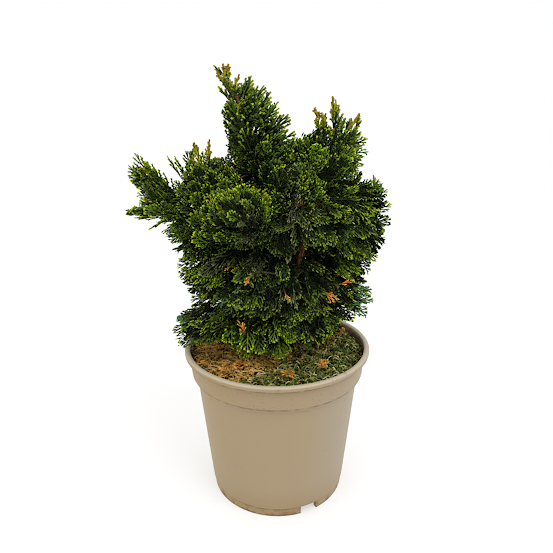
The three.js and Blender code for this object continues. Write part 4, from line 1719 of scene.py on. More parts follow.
@dataclass
class Crown:
    """The foliage.

    Broad sprays, whose tips make the masses' skin, smaller ones between them, and ones inside in painted
    shade.
    """

    spacing: float = 20.0
    back_spacing: float = 25.0
    fill_spacing: float = 20.0
    inner_spacing: float = 20.0
    tier: float = 26.0
    length: tuple[float, float] = (50.0, 70.0)
    shoot_width: float = 1.5
    inner_width: float = 3.4
    stout_width: float = 2.2
    withered_width: float = 1.15
    broad_length: float = 42.0
    broad_top: float = 440.0
    lobed_from: float = 400.0
    placed_lobed_from: float = 385.0
    seed: int = 3

    def pieces(self) -> dict[str, list[str]]:
        """Which masses are joined into which piece."""
        groups: dict[str, list[str]] = {}
        for name in sorted(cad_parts):
            if not name.startswith("foliage_"):
                continue
            words = name.removeprefix("foliage_").split("_")
            if "leader" in words:
                part = "leaders"
            elif words[0] == "crown":
                part = "crown"
            elif {"waist", "skirt", "low"} & set(words):
                part = f"{words[0]}_low"
            else:
                part = f"{words[0]}_{'middle' if 'middle' in words else 'high'}"
            groups.setdefault(part, []).append(name)
        return groups

    def chosen(self, rng: Rng, large: Array, place: Array) -> Array:
        """Which flat spray each takes: a broad one where large, a lobed one high up, else a small one."""
        broad, small = Form.BROAD.deal(rng, len(place)), Form.SMALL.deal(rng, len(place))
        lobed = Form.LOBED.first + (small - Form.SMALL.first) % Form.LOBED.value.count
        return np.select([large, place[:, 2] > self.lobed_from], [broad, lobed], small)

    def sway(self, place: Array, reach: float = 38.0) -> Array:
        """A slow drift of direction over the crown: for each axis, a sine of the other two coordinates."""
        x, y, z = (place / reach).T
        waves = (2.1 * z + 1.3 * y, 1.7 * x + z, 1.9 * y + 1.1 * x + 2.0)
        return np.stack([np.sin(wave) for wave in waves], axis=-1)

    def headings(self, rng: Rng, mass: Mass, place: Array, normal: Array, chance: float) -> Array:
        """The way each spray grows: away from the mass's line and from the crown's middle, and swayed.

        Args:
            rng: The source of unevenness.
            mass: The mass.
            place: Where they end.
            normal: The skin's outward direction there.
            chance: The spread of the unevenness.

        Returns:
            Unit directions.
        """
        source = mass.spine(place, 0.8, 0.35, -0.1, 0.6)
        level = self.level(place)
        middle = np.interp(place[:, 2] - 45.0, [200.0, 400.0, 500.0], [0.0, -20.0, -50.0])
        trunk = np.stack([middle, 0.0 * middle, place[:, 2] - 25.0], axis=-1)
        outward = 0.6 * unit(place - source) + 0.6 * unit(place - trunk)
        heading = outward + 0.1 * normal + 0.2 * self.sway(place)
        heading += rng.normal(0.0, chance, place.shape)
        heading[:, 1] *= np.interp(level, [330.0, 410.0], [0.7, 0.4])
        levels, rises = [200.0, 330.0, 380.0, 430.0, 500.0], [-0.6, -0.75, 0.05, 0.45, 0.7]
        heading[:, 2] += np.interp(level, levels, rises)
        return unit(heading)

    def tiered(self, rng: Rng, place: Array) -> Array:
        """The heights of places, drawn together into tiers that wave, where the sprays lie level."""
        height = place[:, 2]
        wave = 9.0 * self.sway(place, 60.0)[:, 1]
        tier = np.round((height - wave) / self.tier) * self.tier + wave
        tier = tier + rng.normal(0.0, 1.5, len(place))
        return height + 0.85 * (1.0 - smooth_step(self.level(place), 370.0, 410.0)) * (tier - height)

    def stoutness(self, place: Array) -> Array:
        """The width of the shoots, which is greater in the young growth high up."""
        return np.interp(place[:, 2], [425.0, 455.0], [self.shoot_width, self.stout_width])

    @staticmethod
    def level(place: Array) -> Array:
        """The height that decides how upright sprays stand, which they do lower down at the left."""
        return place[:, 2] - 25.0 * np.clip(place[:, 0] / 60.0, -1.0, 1.0)

    def faces(self, rng: Rng, heading: Array, place: Array, chance: float) -> Array:
        """The way each upper face looks, square to the heading.

        It looks up in the low crown, and forwards or back in the plumes.

        Args:
            rng: The source of unevenness.
            heading: The way it grows.
            place: Where it is.
            chance: The spread of the unevenness.

        Returns:
            Unit directions.
        """
        out = unit(place * np.array([1.0, 1.0, 0.0]))
        upright = smooth_step(self.level(place), 350.0, 410.0)[:, None]
        way = np.where(place[:, 1:2] > 12.0, 1.0, -1.0)
        wide = way * np.array([0.0, 1.0, 0.0]) + np.array([0.0, 0.0, 0.25])
        level = np.array([0.0, 0.0, 0.9]) + 0.25 * out + 0.3 * self.sway(place + 60.0)
        wish = (1.0 - upright) * level + upright * wide + rng.normal(0.0, chance, heading.shape)
        return square_to(wish, heading)

    def vigours(self, mass: Mass, place: Array) -> Array:
        """How bright the sprays are dealt by place, from 0 in the dark to 1 at the brightest: partly
        freshness, partly painted light and shade.
        """
        own = FRESHNESS_AND_LIGHT.get(mass.name.removeprefix("foliage_"), 0.0)
        height = np.interp(place[:, 2], [200.0, 260.0, 340.0, 420.0], [0.04, -0.05, 0.0, 0.08])
        middle = (mass.points.min(0) + mass.points.max(0)) / 2
        # painted light: brighter towards each mass's top
        upper = np.clip((place[:, 2] - middle[2]) / 40.0, -1.0, 1.0)
        off_centre = np.hypot((place[:, 0] + 2.0) / 46.0, (place[:, 2] - 320.0) / 70.0)
        # painted shade: darker in the crown's middle
        middle_shade = 0.14 * (1.0 - smooth_step(off_centre, 0.5, 1.1))
        return 0.5 + own + height - middle_shade + 0.2 * upper + 0.17 * self.sway(place + 20.0, 24.0)[:, 0]

    def kinds(self, rng: Rng, vigour: Array, place: Array) -> Array:
        """Deals each spray its kind by its freshness with painted light and shade, and by place for the
        bluish, grey and bronzed ones.

        Args:
            rng: The source of unevenness.
            vigour: How fresh each is, with painted light and shade.
            place: Where each ends.

        Returns:
            The kinds' places in their list.
        """
        kind = np.digitize(vigour + rng.normal(0.0, 0.2, len(place)), [-0.1, 0.18, 0.42, 0.66, 0.92])
        chance = rng.random(len(place))
        low_left = (place[:, 0] < -10.0) & (place[:, 2] < 305.0)
        kind = np.where(low_left & (chance < 0.05), Kind.BLUISH.place, kind)
        middle = (np.abs(place[:, 0] + 4.0) < 46.0) & (np.abs(place[:, 2] - 332.0) < 70.0)
        kind = np.where(middle & (chance > 0.52) & (kind < 4), Kind.GREY.place, kind)
        kind = np.where((chance > 0.92) & (place[:, 2] < 340.0), Kind.GREY.place, kind)
        share = smooth_step(place[:, 2], 355.0, 430.0) * np.where(place[:, 0] < 10.0, 0.7, 0.2)
        gold = (rng.random(len(place)) < share) & (kind > Kind.SHADY.place)
        return np.where(gold, Kind.BRONZED.place, kind)

    def outer(self, rng: Rng, mass: Mass, canopy: Canopy) -> Sprays:
        """The broad sprays whose tips make a mass's skin.

        Args:
            rng: The source of unevenness.
            mass: The mass.
            canopy: All the masses.

        Returns:
            The sprays.
        """
        place, normal = canopy.skin(rng, mass, self.back_spacing if "_back_" in mass.name else self.spacing)
        count = len(place)
        place = place - normal * rng.uniform(-2.0, 7.0, (count, 1))
        place[:, 2] = self.tiered(rng, place)
        heading = self.headings(rng, mass, place, normal, 0.1)
        length = np.minimum(rng.uniform(*self.length, count), 16.0 + 1.4 * mass.depth(place))
        length = canopy.rooted(place, heading, length)
        large = (length > self.broad_length) & (place[:, 2] < self.broad_top)
        # painted light: sprays at the crown's sides are dealt brighter kinds
        side_light = 0.2 if mass.name.startswith("foliage_front") else np.abs(normal[:, 0])
        vigour = self.vigours(mass, place) + 0.12 * side_light
        sprays = Sprays(
            place - heading * length[:, None],
            heading,
            self.faces(rng, heading, place, 0.15),
            length,
            rng.uniform(0.6, 0.85, count),
            self.chosen(rng, large, place),
            rng.uniform(-0.05, 0.28, count),
            rng.uniform(-0.1, 0.4, count),
            np.maximum(self.kinds(rng, vigour, place), Kind.DEEP.place),
            self.stoutness(place) * rng.uniform(0.92, 1.08, count),
            rng.uniform(2.0, 7.0, count),
        )
        open_top = rng.random(count) < 0.5 * smooth_step(place[:, 2], 440.0, 470.0)
        return canopy.trimmed(sprays.pick(~open_top), 5.0, 14.0)

    def fill(self, rng: Rng, mass: Mass, canopy: Canopy) -> Sprays:
        """Smaller sprays between the broad ones, with their tips a little inside the skin."""
        place, normal = canopy.skin(rng, mass, self.fill_spacing)
        count = len(place)
        heading = self.headings(rng, mass, place, normal, 0.35)
        length = np.minimum(rng.uniform(28.0, 38.0, count), 9.0 + 1.45 * mass.depth(place))
        length = canopy.rooted(place, heading, length * 1.2) / 1.2
        return Sprays(
            place - heading * (length * rng.uniform(1.05, 1.2, count))[:, None],
            heading,
            self.faces(rng, heading, place, 0.5),
            length,
            rng.uniform(0.6, 0.8, count),
            Form.SMALL.deal(rng, count),
            rng.uniform(-0.1, 0.3, count),
            rng.uniform(-0.1, 0.5, count),
            # painted shade: the fill sprays are dealt darker kinds
            self.kinds(rng, self.vigours(mass, place) - 0.34, place),
            np.full(count, self.shoot_width * 1.05),
            np.full(count, 1.5),
        )

    def inner(self, rng: Rng, mass: Mass) -> Sprays:
        """The sprays part of the way in, in painted shade, which close the mass."""
        place, normal = mass.scatter(rng, 1.0 / self.inner_spacing**2)
        spine = mass.spine(place, 0.9, 0.0, 0.0, 0.8)
        place = spine + (place - spine) * rng.uniform(0.35, 0.78, (len(place), 1))
        place, normal = place[place[:, 2] < 432.0], normal[place[:, 2] < 432.0]
        heading = self.headings(rng, mass, place, normal, 0.3)
        sprays = self.dark(rng, place - heading * 22.0, heading)
        sprays.proud -= 6.0 if "arm" in mass.name else 0.0
        return sprays

    def dark(self, rng: Rng, base: Array, heading: Array) -> Sprays:
        """Coarse sprays in the darkest tones as painted shade, given where they begin and the way they grow.
        """
        count = len(base)
        return Sprays(
            base,
            heading,
            self.faces(rng, heading, base, 0.4),
            rng.uniform(24.0, 34.0, count),
            rng.uniform(0.8, 1.0, count),
            Form.COARSE.deal(rng, count),
            rng.uniform(-0.1, 0.3, count),
            rng.uniform(-0.2, 0.5, count),
            np.where(rng.random(count) < 0.85, Kind.BLACK.place, Kind.DEEP.place),
            np.full(count, self.inner_width),
            np.zeros(count),
        )

    def core(self, rng: Rng, trunk: Array, count: int = 430) -> tuple[Sprays, Shape]:
        """Sprays in painted shade round the trunk, which close the crown's middle, each on a stem from the
        trunk.

        Args:
            rng: The source of unevenness.
            trunk: The trunk's centre line.
            count: How many.

        Returns:
            The sprays and their stems.
        """
        height = rng.uniform(232.0, 412.0, count)
        foot = stations_of(trunk, trunk[:, 2], height - 16.0)
        turn = rng.uniform(0.0, FULL_TURN, count)
        out = np.stack([np.cos(turn), np.sin(turn) * 0.85, rng.normal(0.0, 0.25, count)], axis=-1)
        reach = (rng.uniform(16.0, 54.0, count) * np.interp(height, [370.0, 412.0], [1.0, 0.4]))[:, None]
        base = foot + out * reach + np.array([0.0, 0.0, 12.0])
        heading = unit(out + rng.normal(0.0, 0.35, out.shape))
        stems = curved(foot, base - heading * reach * 0.4, base, 4)
        sprays = self.dark(rng, base, heading)
        sprays.proud += np.where(height < 380.0, 40.0, 2.0)
        return sprays, tubes(stems, taper(1.1, 0.5, count, 4), 4)

    def placed(self, rng: Rng, plans: Sequence[Plume], limbs: Array) -> tuple[Sprays, Shape]:
        """The placed sprays, their faces to the front, and a stem to each from the nearest limb.

        Behind each full one stands a second, a little shorter, shifted and darker as painted shade.

        Args:
            rng: The source of unevenness.
            plans: The sprays.
            limbs: Points along all the limbs and the masses' lines.

        Returns:
            The sprays and their stems.
        """
        all_plans = [*plans, *(plan for plan in plans if plan.breadth >= 0.6 and not plan.sparse)]
        count = len(all_plans)
        second = np.arange(count) >= len(plans)
        foot = np.array([plan.foot for plan in all_plans], float)
        tip = np.array([plan.tip for plan in all_plans], float)
        tip = np.where(second[:, None], foot + 0.88 * (tip - foot), tip)
        shift = rng.normal(0.0, 3.0, (count, 3)) + np.array([0.0, 5.0, 0.0])
        foot, tip = foot + shift * second[:, None], tip + shift * second[:, None]
        heading = unit(tip - foot)
        front = np.array([[0.0, -1.0, 0.3]]) + rng.normal(0.0, 0.2, (count, 3))
        length = np.linalg.norm(tip - foot, axis=1)
        sparse = Form.SPARSE.deal(rng, count)
        large = (length > 40.0) & (tip[:, 2] < self.broad_top)
        full = np.where(large, Form.BROAD.deal(rng, count), Form.SMALL.deal(rng, count))
        coarse = Form.COARSE.deal(rng, count)
        lobed = Form.LOBED.deal(rng, count)
        is_black = np.array([plan.kind is Kind.BLACK for plan in all_plans])
        is_sparse = np.array([plan.sparse for plan in all_plans])
        is_high = tip[:, 2] > self.placed_lobed_from
        # painted shade: the second ones are dealt darker kinds
        behind = np.where(is_high, Kind.SHADY.place, Kind.DEEP.place)
        withered = [plan.kind is Kind.WITHERED for plan in all_plans]
        width = np.where(withered, self.withered_width, self.stoutness(tip))
        sprays = Sprays(
            foot,
            heading,
            square_to(front, heading),
            length,
            np.array([plan.breadth for plan in all_plans]) * np.where(second, 0.85, 1.0),
            np.select([is_black, is_sparse, is_high], [coarse, sparse, lobed], full),
            rng.uniform(-0.04, 0.08, count),
            rng.uniform(-0.1, 0.3, count),
            np.where(second & ~is_black, behind, [plan.kind.place for plan in all_plans]),
            np.where(is_black, self.inner_width, width),
            np.full(count, np.inf),
        )
        start = self.nearest(limbs, foot - heading * 12.0 + np.array([0.0, 22.0, 0.0]))
        run = np.linalg.norm(foot - start, axis=1, keepdims=True)
        stems = curved(start, foot - heading * np.minimum(run * 0.4, 8.0), foot + heading * 2.0, 7)
        return sprays, tubes(stems, taper(0.9, 0.5, count, 7), 5, 1)

    def leader(self, rng: Rng, mass: Mass) -> Sprays:
        """A leader: short forked sprays set round its own stem, closer to upright towards its tip."""
        axis = mass.tip - mass.root
        reach = float(np.linalg.norm(axis))
        count = max(int(reach / 7.0), 5)
        share = np.linspace(0.0, 1.0 - 17.0 / reach, count)
        along = unit(np.broadcast_to(axis, (count, 3)))
        turn = np.arange(count) * 2.4 + rng.uniform(0, 6.28)
        side = square_to(np.broadcast_to(np.array([0.3, -1.0, 0.2]), (count, 3)), along)
        out = np.cos(turn)[:, None] * side + np.sin(turn)[:, None] * np.cross(along, side)
        lean = np.interp(share, [0.0, 1.0], [0.7, 0.1])[:, None]
        heading = unit(along + lean * out + rng.normal(0.0, 0.08, (count, 3)))
        front = np.array([0.0, -1.0, 0.3]) + rng.normal(0.0, 0.6, (count, 3))
        return Sprays(
            mass.root + axis * share[:, None],
            heading,
            square_to(front, heading),
            rng.uniform(14.0, 19.0, count),
            rng.uniform(0.6, 0.8, count),
            Form.SPARSE.deal(rng, count),
            rng.uniform(-0.1, 0.1, count),
            rng.uniform(-0.1, 0.3, count),
            np.where(rng.random(count) < 0.5, Kind.RUDDY.place, Kind.BRONZED.place),
            np.full(count, self.stout_width),
            np.full(count, np.inf),
        )

    def wood(self, mass: Mass, sprays: Sprays) -> list[Shape]:
        """The wood inside a mass: its spine, and a stem from that to each spray.

        Args:
            mass: The mass.
            sprays: Its sprays.

        Returns:
            The tubes.
        """
        spine = mass.line(0.8)
        made = [tubes(spine[None], taper(1.8, 0.7, 1, len(spine)), 7, 1)]
        long = sprays.length > self.broad_length
        for chosen, stations, sides, width in ((long, 5, 4, 0.95), (~long, 4, 3, 0.6)):
            own = sprays.pick(chosen)
            if not len(own.base):
                continue
            start = self.nearest(spine, own.base)
            run = np.linalg.norm(own.base - start, axis=1, keepdims=True)
            stems = curved(start, own.base - own.heading * run * 0.35, own.base + own.heading * 3.0, stations)
            radii = taper(width, width * 0.7, len(stems), stations)
            made.append(tubes(stems, radii, sides, 0 if chosen is long else 1))
        return made

    @staticmethod
    def nearest(line: Array, place: Array) -> Array:
        """The station of a line nearest to each place."""
        return line[np.argmin(np.linalg.norm(place[:, None] - line[None], axis=-1), axis=1)]

    def build(self, limbs: Sequence[Limb]) -> None:
        """Makes the foliage piece by piece, and the twigs."""
        rng = np.random.default_rng(self.seed)
        lobed_rng = np.random.default_rng(self.seed + 1)
        grown = [form.value.grown(lobed_rng if form is Form.LOBED else rng) for form in Form]
        fronds = [frond for alike in grown for frond in alike]
        finishes = tone_finishes()
        lines = np.concatenate([limb.path for limb in limbs])
        masses = {name: Mass.read(name, lines) for names in self.pieces().values() for name in names}
        canopy = Canopy(list(masses.values()))
        twigs: list[Shape] = []
        for part, names in self.pieces().items():
            groups = []
            for name in names:
                mass = masses[name]
                if mass.slender:
                    own = self.leader(rng, mass)
                else:
                    outer, fill = self.outer(rng, mass, canopy), self.fill(rng, mass, canopy)
                    layers = [outer, fill, self.inner(rng, mass)]
                    LOG.info("%s: %s sprays", name, [len(layer.base) for layer in layers])
                    own = Sprays.joined(layers)
                groups.append(own)
                twigs.extend(self.wood(mass, own))
            made = Sprays.joined(groups).shape(rng, fronds, canopy.outside)
            slot = "new_growth" if part == "leaders" else "foliage"
            made.piece(f"foliage_{part}", finishes, slot, names)
        core, stems = self.core(rng, limbs[0].path)
        spines = [mass.line(0.9) for mass in masses.values()]
        edge, edge_stems = self.placed(rng, PLUMES, np.concatenate([lines, *spines]))
        made = Sprays.joined([core, edge]).shape(rng, fronds, canopy.outside)
        made.piece("foliage_core", finishes, "foliage")
        twigs.extend([stems, edge_stems])
        wood = BarkFinish("twig_bark", (60, 36, 24), (122, 76, 48), (132, 104, 78)).material()
        green = BarkFinish("twig_green", (34, 32, 16), (70, 62, 30), (96, 84, 48)).material()
        Shape.joined(twigs).piece("twigs", [wood, green], "bark")


# ---------------------------------------------------------------- soil


# where the fallen sprays at the front lie, and the bearing each points to
FALLEN = (
    (-52.0, -60.0, 230.0),
    (-66.0, -62.0, 335.0),
    (-40.0, -52.0, 285.0),
    (-30.0, -58.0, 200.0),
    (12.0, -78.0, 290.0),
    (21.0, -82.0, 180.0),
    (47.0, -72.0, 45.0),
    (57.0, -72.0, 120.0),
    (32.0, -22.0, 60.0),
    (40.0, -4.0, 30.0),
    (62.0, 2.0, 100.0),
    (74.0, 8.0, 150.0),
    (80.0, 14.0, 60.0),
)


@dataclass
class Soil:
    """The soil's face with its litter: straw and fibre, moss tufts, fine blades, chaff and dead sprays."""

    height: float = SOIL_HEIGHT
    radius: float = 107.2
    wall_radius: float = 109.2
    wall: tuple[tuple[float, float], ...] = ((46.0, 13.0), (84.4, 13.0), (98.9, 156.0), (105.2, 163.0))
    floor_radius: float = 39.0
    fall: float = 2.5
    seat: float = 19.0
    stem_radius: float = 14.0
    rings: int = 90
    around: int = 320
    withered: Growth = Growth(5, 4, (36, 48), (0.75, 0.95), 0.12, 0.2)
    seed: int = 41

    def lift(self, x: Array, y: Array) -> Array:
        """The face's height over its level: low waves that fade out at the stem, and a fall to the wall."""
        reach = np.hypot(x, y)
        clear = smooth_step(reach, self.seat, self.seat * 2)
        lumps = np.sin(x / 14 + 1.3) * np.cos(y / 16 - 0.4) + 0.6 * np.sin(x / 8 - y / 9)
        return clear * (lumps - self.fall * (reach / self.wall_radius) ** 2)

    def crumbs(self, x: Array, y: Array) -> Array:
        """Small lumps: a sum of waves of five sizes that cross at odd angles."""
        total = np.zeros_like(x)
        for size, angle, weight in ((9.0, 0.4, 0.5), (5.3, 1.7, 0.4), (3.1, 2.6, 0.35), (2.1, 0.9, 0.25)):
            along = x * math.cos(angle) + y * math.sin(angle)
            across = y * math.cos(angle) - x * math.sin(angle)
            ripple = weight * np.sin(along / size * 2.2 + 1.5 * np.sin(across / size))
            total += ripple * np.cos(across / size * 1.9)
        return total

    def roughness(self, x: Array, y: Array, reach: Array) -> Array:
        """The lumps' height, which fades out near the stem."""
        return self.crumbs(x, y) * smooth_step(reach, 9.0, 24.0)

    def surface(self) -> Shape:
        """The soil's closed body: polar rings over its face, then the wall's inside down to the floor."""
        reach = np.linspace(0.0, self.radius, self.rings + 1)[1:]
        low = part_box("soil")[0].z / MM
        profile = [(0.0, low), (self.floor_radius, low), *self.wall]
        profile += [(float(r), self.height) for r in reach[::-1]] + [(0.0, self.height)]
        body = turned(profile, self.around)
        x, y, z = body.points.T
        top = z > self.height - 0.5
        rough = self.roughness(x, y, np.hypot(x, y))
        body.points[:, 2] = np.where(top, z + self.lift(x, y) + rough, z)
        return body

    def spots(self, rng: Rng, count: int, edge: float = 3.0) -> tuple[Array, Array, Array]:
        """Random places on the face, evenly spread outside the stem's foot.

        Args:
            rng: The source of places.
            count: How many.
            edge: How far they stay from the wall.

        Returns:
            Their x, y and z.
        """
        full = self.radius - edge
        reach = np.sqrt(rng.uniform((self.stem_radius / full) ** 2, 1.0, count)) * full
        angle = rng.uniform(0.0, FULL_TURN, count)
        x, y = reach * np.cos(angle), reach * np.sin(angle)
        return x, y, self.height + self.lift(x, y) + self.roughness(x, y, reach)

    def greenness(self, rng: Rng, x: Array, y: Array) -> Array:
        """Whether each place is mossy: at the right and along the front's edge, but not behind the stem."""
        stray = rng.normal(0.0, 12.0, len(x))
        border = 8.0 - 58.0 * smooth_step(-y, 66.0, 92.0)
        behind_stem = (y + stray > -14.0) & (x + stray < 62.0)
        return (x + 14.0 * np.sin(y / 13.0 + 0.7) + stray > border) & ~behind_stem

    def moss(self, rng: Rng, count: int = 8200) -> Shape:
        """Moss, upright darts that lean by chance, and bits of straw that lie on the brown side."""
        x, y, z = self.spots(rng, count, 1.5)
        foot = np.stack([x, y, z - 0.6], axis=-1)
        green = self.greenness(rng, x, y)
        up = np.where(green, 1.8, 0.35)[:, None]
        lean = unit(np.concatenate([rng.normal(0, 1.0, (count, 2)), up], axis=1))
        tall = np.where(green, rng.uniform(1.8, 5.0, count), rng.uniform(3.0, 8.0, count))
        side = square_to(rng.normal(0, 1, (count, 3)), lean)
        patch = 0.5 + 0.3 * self.crumbs(x / 1.7 + 30.0, y / 1.7)
        chance = np.clip(patch + rng.normal(0.0, 0.22, count), 0.0, 0.999)
        mossy = [Tone.PEAT, Tone.MOSS, Tone.LEAF, Tone.BLADE, Tone.OLIVE, Tone.CHAFF]
        brown = [Tone.PEAT, Tone.RUST, Tone.MOSS, Tone.STRAW, Tone.CHAFF]
        on_green = np.array([tone.value for tone in mossy])[np.digitize(chance, [0.34, 0.5, 0.58, 0.68, 0.9])]
        on_brown = np.array([tone.value for tone in brown])[np.digitize(chance, [0.5, 0.6, 0.66, 0.97])]
        tone = np.where(green, on_green, on_brown)
        wide = np.where(green, rng.uniform(0.9, 1.7, count), rng.uniform(0.6, 1.1, count))
        return darts(foot, foot + lean * tall[:, None], side, np.cross(lean, side), wide, wide * 0.7, tone)

    def fibres(self, rng: Rng, count: int = 2300) -> list[Shape]:
        """Straw and fine blades: thin bowed tubes, flat on the brown side and arching on the green side."""
        shapes = []
        x, y, _ = self.spots(rng, count, 7.0)
        green = self.greenness(rng, x, y)
        angle = rng.uniform(0.0, FULL_TURN, count)
        length = np.where(green, rng.uniform(5.0, 14.0, count), rng.uniform(8.0, 26.0, count))
        share = np.linspace(-0.5, 0.5, 5)[None]
        bow = (rng.uniform(-0.25, 0.25, count) * np.where(green, 1.0, 0.3) * length)[:, None]
        along = share * length[:, None]
        aside = bow * (share**2 - 0.25) * 2.0
        px = x[:, None] + along * np.cos(angle)[:, None] - aside * np.sin(angle)[:, None]
        py = y[:, None] + along * np.sin(angle)[:, None] + aside * np.cos(angle)[:, None]
        reach = np.hypot(px, py)
        inward = np.minimum(1.0, (self.radius - 1.2) / np.maximum(reach, 1e-6))
        px, py = px * inward, py * inward
        arch = np.where(green, rng.uniform(0.8, 5.0, count), rng.uniform(0.4, 2.4, count))[:, None]
        ground = self.height + self.lift(px, py) + self.crumbs(px, py) * 0.7
        pz = ground + arch * (1.0 - (share * 2.0) ** 2) - 0.1
        paths = np.stack([px, py, pz], axis=-1)
        chance = rng.random(count)
        tone = np.where(green, Tone.BLADE.value, Tone.STRAW.value)
        tone = np.where(green & (chance < 0.4), Tone.OLIVE.value, tone)
        tone = np.where(chance > np.where(green, 0.86, 0.93), Tone.CHAFF.value, tone)
        tone = np.where(~green & (chance < 0.2), Tone.RUST.value, tone)
        for value in np.unique(tone):
            own = tone == value
            thick = rng.uniform(0.7, 1.25, (int(own.sum()), 1))
            radii = np.array([0.3, 0.54, 0.6, 0.52, 0.26])[None] * thick
            shapes.append(tubes(paths[own], radii, 3, int(value)))
        return shapes

    def chaff(self, rng: Rng, count: int = 1300) -> Shape:
        """Pale flakes lying at any turn, thickest at the right."""
        x, y, z = self.spots(rng, count)
        kept = x > rng.uniform(-160.0, 100.0, count)
        x, y, z = x[kept], y[kept], z[kept]
        count = len(x)
        foot = np.stack([x, y, z + rng.uniform(0.3, 1.6, count)], axis=-1)
        angle = rng.uniform(0.0, FULL_TURN, count)
        run = unit(np.stack([np.cos(angle), np.sin(angle), rng.normal(0, 0.25, count)], axis=-1))
        up = square_to(np.array([0.0, 0.0, 1.0]) + rng.normal(0, 0.35, (count, 3)), run)
        wide = rng.uniform(0.8, 1.8, count)
        tone = np.where(rng.random(count) < 0.6, Tone.CHAFF.value, Tone.STRAW.value)
        length = rng.uniform(1.4, 3.4, count)[:, None]
        return darts(foot, foot + run * length, np.cross(up, run), up, wide, wide * 0.3, tone)

    def dead(self, rng: Rng, fronds: Sequence[Frond], strewn: int = 9) -> Shape:
        """Fallen sprays on the litter, orange and curled: those in front placed, those behind strewn."""
        angle = np.radians(rng.uniform(20.0, 200.0, strewn))
        reach = rng.uniform(56.0, 94.0, strewn)
        placed_x, placed_y, bearing = np.array(FALLEN).T
        x = np.concatenate([placed_x, reach * np.cos(angle)])
        y = np.concatenate([placed_y, reach * np.sin(angle)])
        turn = np.radians(np.concatenate([bearing, rng.uniform(0, 360.0, strewn)]))
        count = len(x)
        z = self.height + self.lift(x, y) + 7.0 + 7.0 * np.maximum(-np.sin(turn), 0.0)
        base = np.stack([x, y, z], axis=-1)
        slope = rng.uniform(-0.02, 0.2, count) + 0.4 * np.sin(turn)
        heading = np.stack([np.cos(turn), np.sin(turn), slope], axis=-1)
        inward = unit(-base * np.array([1.0, 1.0, 0.0]))
        heading = unit(heading + inward * 0.2)
        sprays = Sprays(
            base,
            heading,
            square_to(np.array([0.0, -0.6, 1.0]) + rng.normal(0, 0.25, (count, 3)), heading),
            rng.uniform(16.0, 22.0, count),
            rng.uniform(0.7, 0.95, count),
            rng.integers(0, len(fronds), count),
            rng.uniform(-0.1, 0.1, count),
            rng.uniform(0.0, 0.4, count),
            np.full(count, Kind.WITHERED.place),
            np.full(count, 1.8),
            np.full(count, np.inf),
        )
        return sprays.shape(rng, fronds)

    def build(self) -> None:
        """Makes the soil and its litter."""
        rng = np.random.default_rng(self.seed)
        ground = SoilFinish("soil").material()
        self.surface().piece("soil_face", [ground], "soil", ["soil"], 50.0)
        fronds = self.withered.grown(rng)
        parts = [self.moss(rng), self.chaff(rng), *self.fibres(rng), self.dead(rng, fronds)]
        Shape.joined(parts).piece("soil_litter", tone_finishes(), "soil")


# ---------------------------------------------------------------- studio


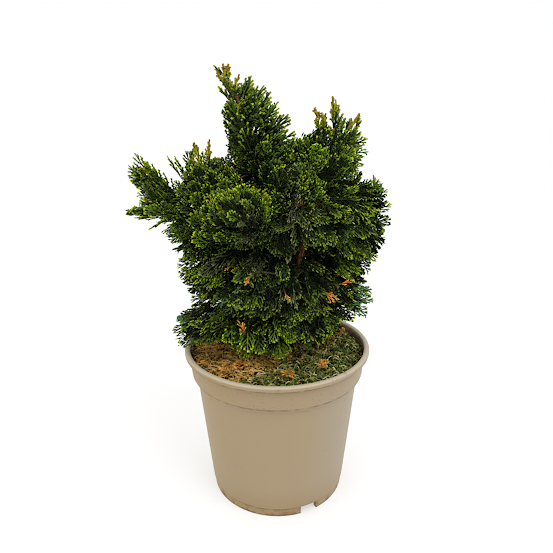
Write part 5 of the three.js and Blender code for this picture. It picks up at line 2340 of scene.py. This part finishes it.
@dataclass
class Studio:
    """A pale floor that sweeps up all round, a bright plain sky, two soft lamps and the camera."""

    camera_place: Place = (0.0, -0.598, 0.4764)
    pitch: float = 18.06
    roll: float = -0.42
    lens: float = 33.79
    sensor: float = 36.0
    aim: float = 0.28
    sky: float = 1.0
    sharpness: float = 0.13
    flat: float = 2200.0
    sweep: float = 900.0
    thick: float = 30.0

    def build(self) -> None:
        """Makes the floor, the light and the camera."""
        angles = np.linspace(0, 1.45, 16)
        bend = self.sweep
        sweep = [(self.flat + bend * math.sin(a), bend - bend * math.cos(a)) for a in angles]
        under = [(r + self.thick, z - self.thick) for r, z in reversed(sweep)]
        profile = [(0.0, 0.0), (300.0, 0.0), (900.0, 0.0), *sweep, *under, (0.0, -self.thick)]
        floor = turned(profile, 128).simple_object("floor")
        floor.data.materials.append(FloorFinish("floor_paint").material())
        smoothed(floor.data, 40.0)
        self.light()
        self.camera()
        self.crisp()

    def light(self) -> None:
        """A plain sky and two wide lamps: a cooler one high at the right, a warmer one at the left."""
        world = bpy.data.worlds.new("studio")
        world.use_nodes = True
        backdrop = world.node_tree.nodes["Background"]
        backdrop.inputs["Color"].default_value = (1.0, 1.0, 1.0, 1.0)
        backdrop.inputs["Strength"].default_value = self.sky
        bpy.context.scene.world = world
        for name, place, power, size, tint in (
            ("lamp_right", (0.9, -1.0, 1.9), 16.0, 1.1, (0.97, 0.98, 1.0)),
            ("lamp_left", (-1.1, -0.8, 1.5), 6.0, 1.2, (1.0, 0.96, 0.88)),
        ):
            lamp = bpy.data.lights.new(name, "AREA")
            lamp.energy, lamp.size, lamp.color = power, size, tint
            self.aimed(added(name, lamp), place, Vector((0.0, 0.0, self.aim)) - Vector(place))
        bpy.context.scene.view_settings.view_transform = "Standard"

    @staticmethod
    def aimed(holder: bpy.types.Object, place: Sequence[float], way: Vector) -> None:
        """Puts a lamp or the camera in its place and turns it the way it looks."""
        holder.location = place
        holder.rotation_euler = way.to_track_quat("-Z", "Y").to_euler()

    def crisp(self) -> None:
        """Sharpens the finished picture a little, as a camera does by itself."""
        scene = bpy.context.scene
        scene.use_nodes = True
        tree = scene.node_tree
        tree.nodes.clear()
        seen = tree.nodes.new("CompositorNodeRLayers")
        filtered = tree.nodes.new("CompositorNodeFilter")
        filtered.filter_type = "SHARPEN_DIAMOND"
        filtered.inputs["Fac"].default_value = self.sharpness
        shown = tree.nodes.new("CompositorNodeComposite")
        tree.links.new(seen.outputs["Image"], filtered.inputs["Image"])
        tree.links.new(filtered.outputs["Image"], shown.inputs["Image"])

    def camera(self) -> None:
        """The camera: in front, looking a little down, turned very slightly about its own line of sight."""
        data = bpy.data.cameras.new("camera")
        data.lens, data.sensor_width = self.lens, self.sensor
        data.clip_start, data.clip_end = 0.05, 50.0
        made = added("camera", data)
        down = math.radians(self.pitch)
        self.aimed(made, self.camera_place, Vector((0.0, math.cos(down), -math.sin(down))))
        made.rotation_euler.rotate_axis("Z", math.radians(self.roll))
        bpy.context.scene.camera = made


def write_sizes() -> None:
    """Updates the view layer."""
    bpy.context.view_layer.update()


def main() -> None:
    """Builds every part in order."""
    logging.basicConfig(level=logging.INFO, format="%(name)s: %(message)s")
    Pot().build()
    Soil().build()
    limbs = Limbs()
    lines = limbs.read()
    limbs.build(lines)
    Crown().build(lines)
    Studio().build()
    write_sizes()


if __name__ == "__main__":
    main()
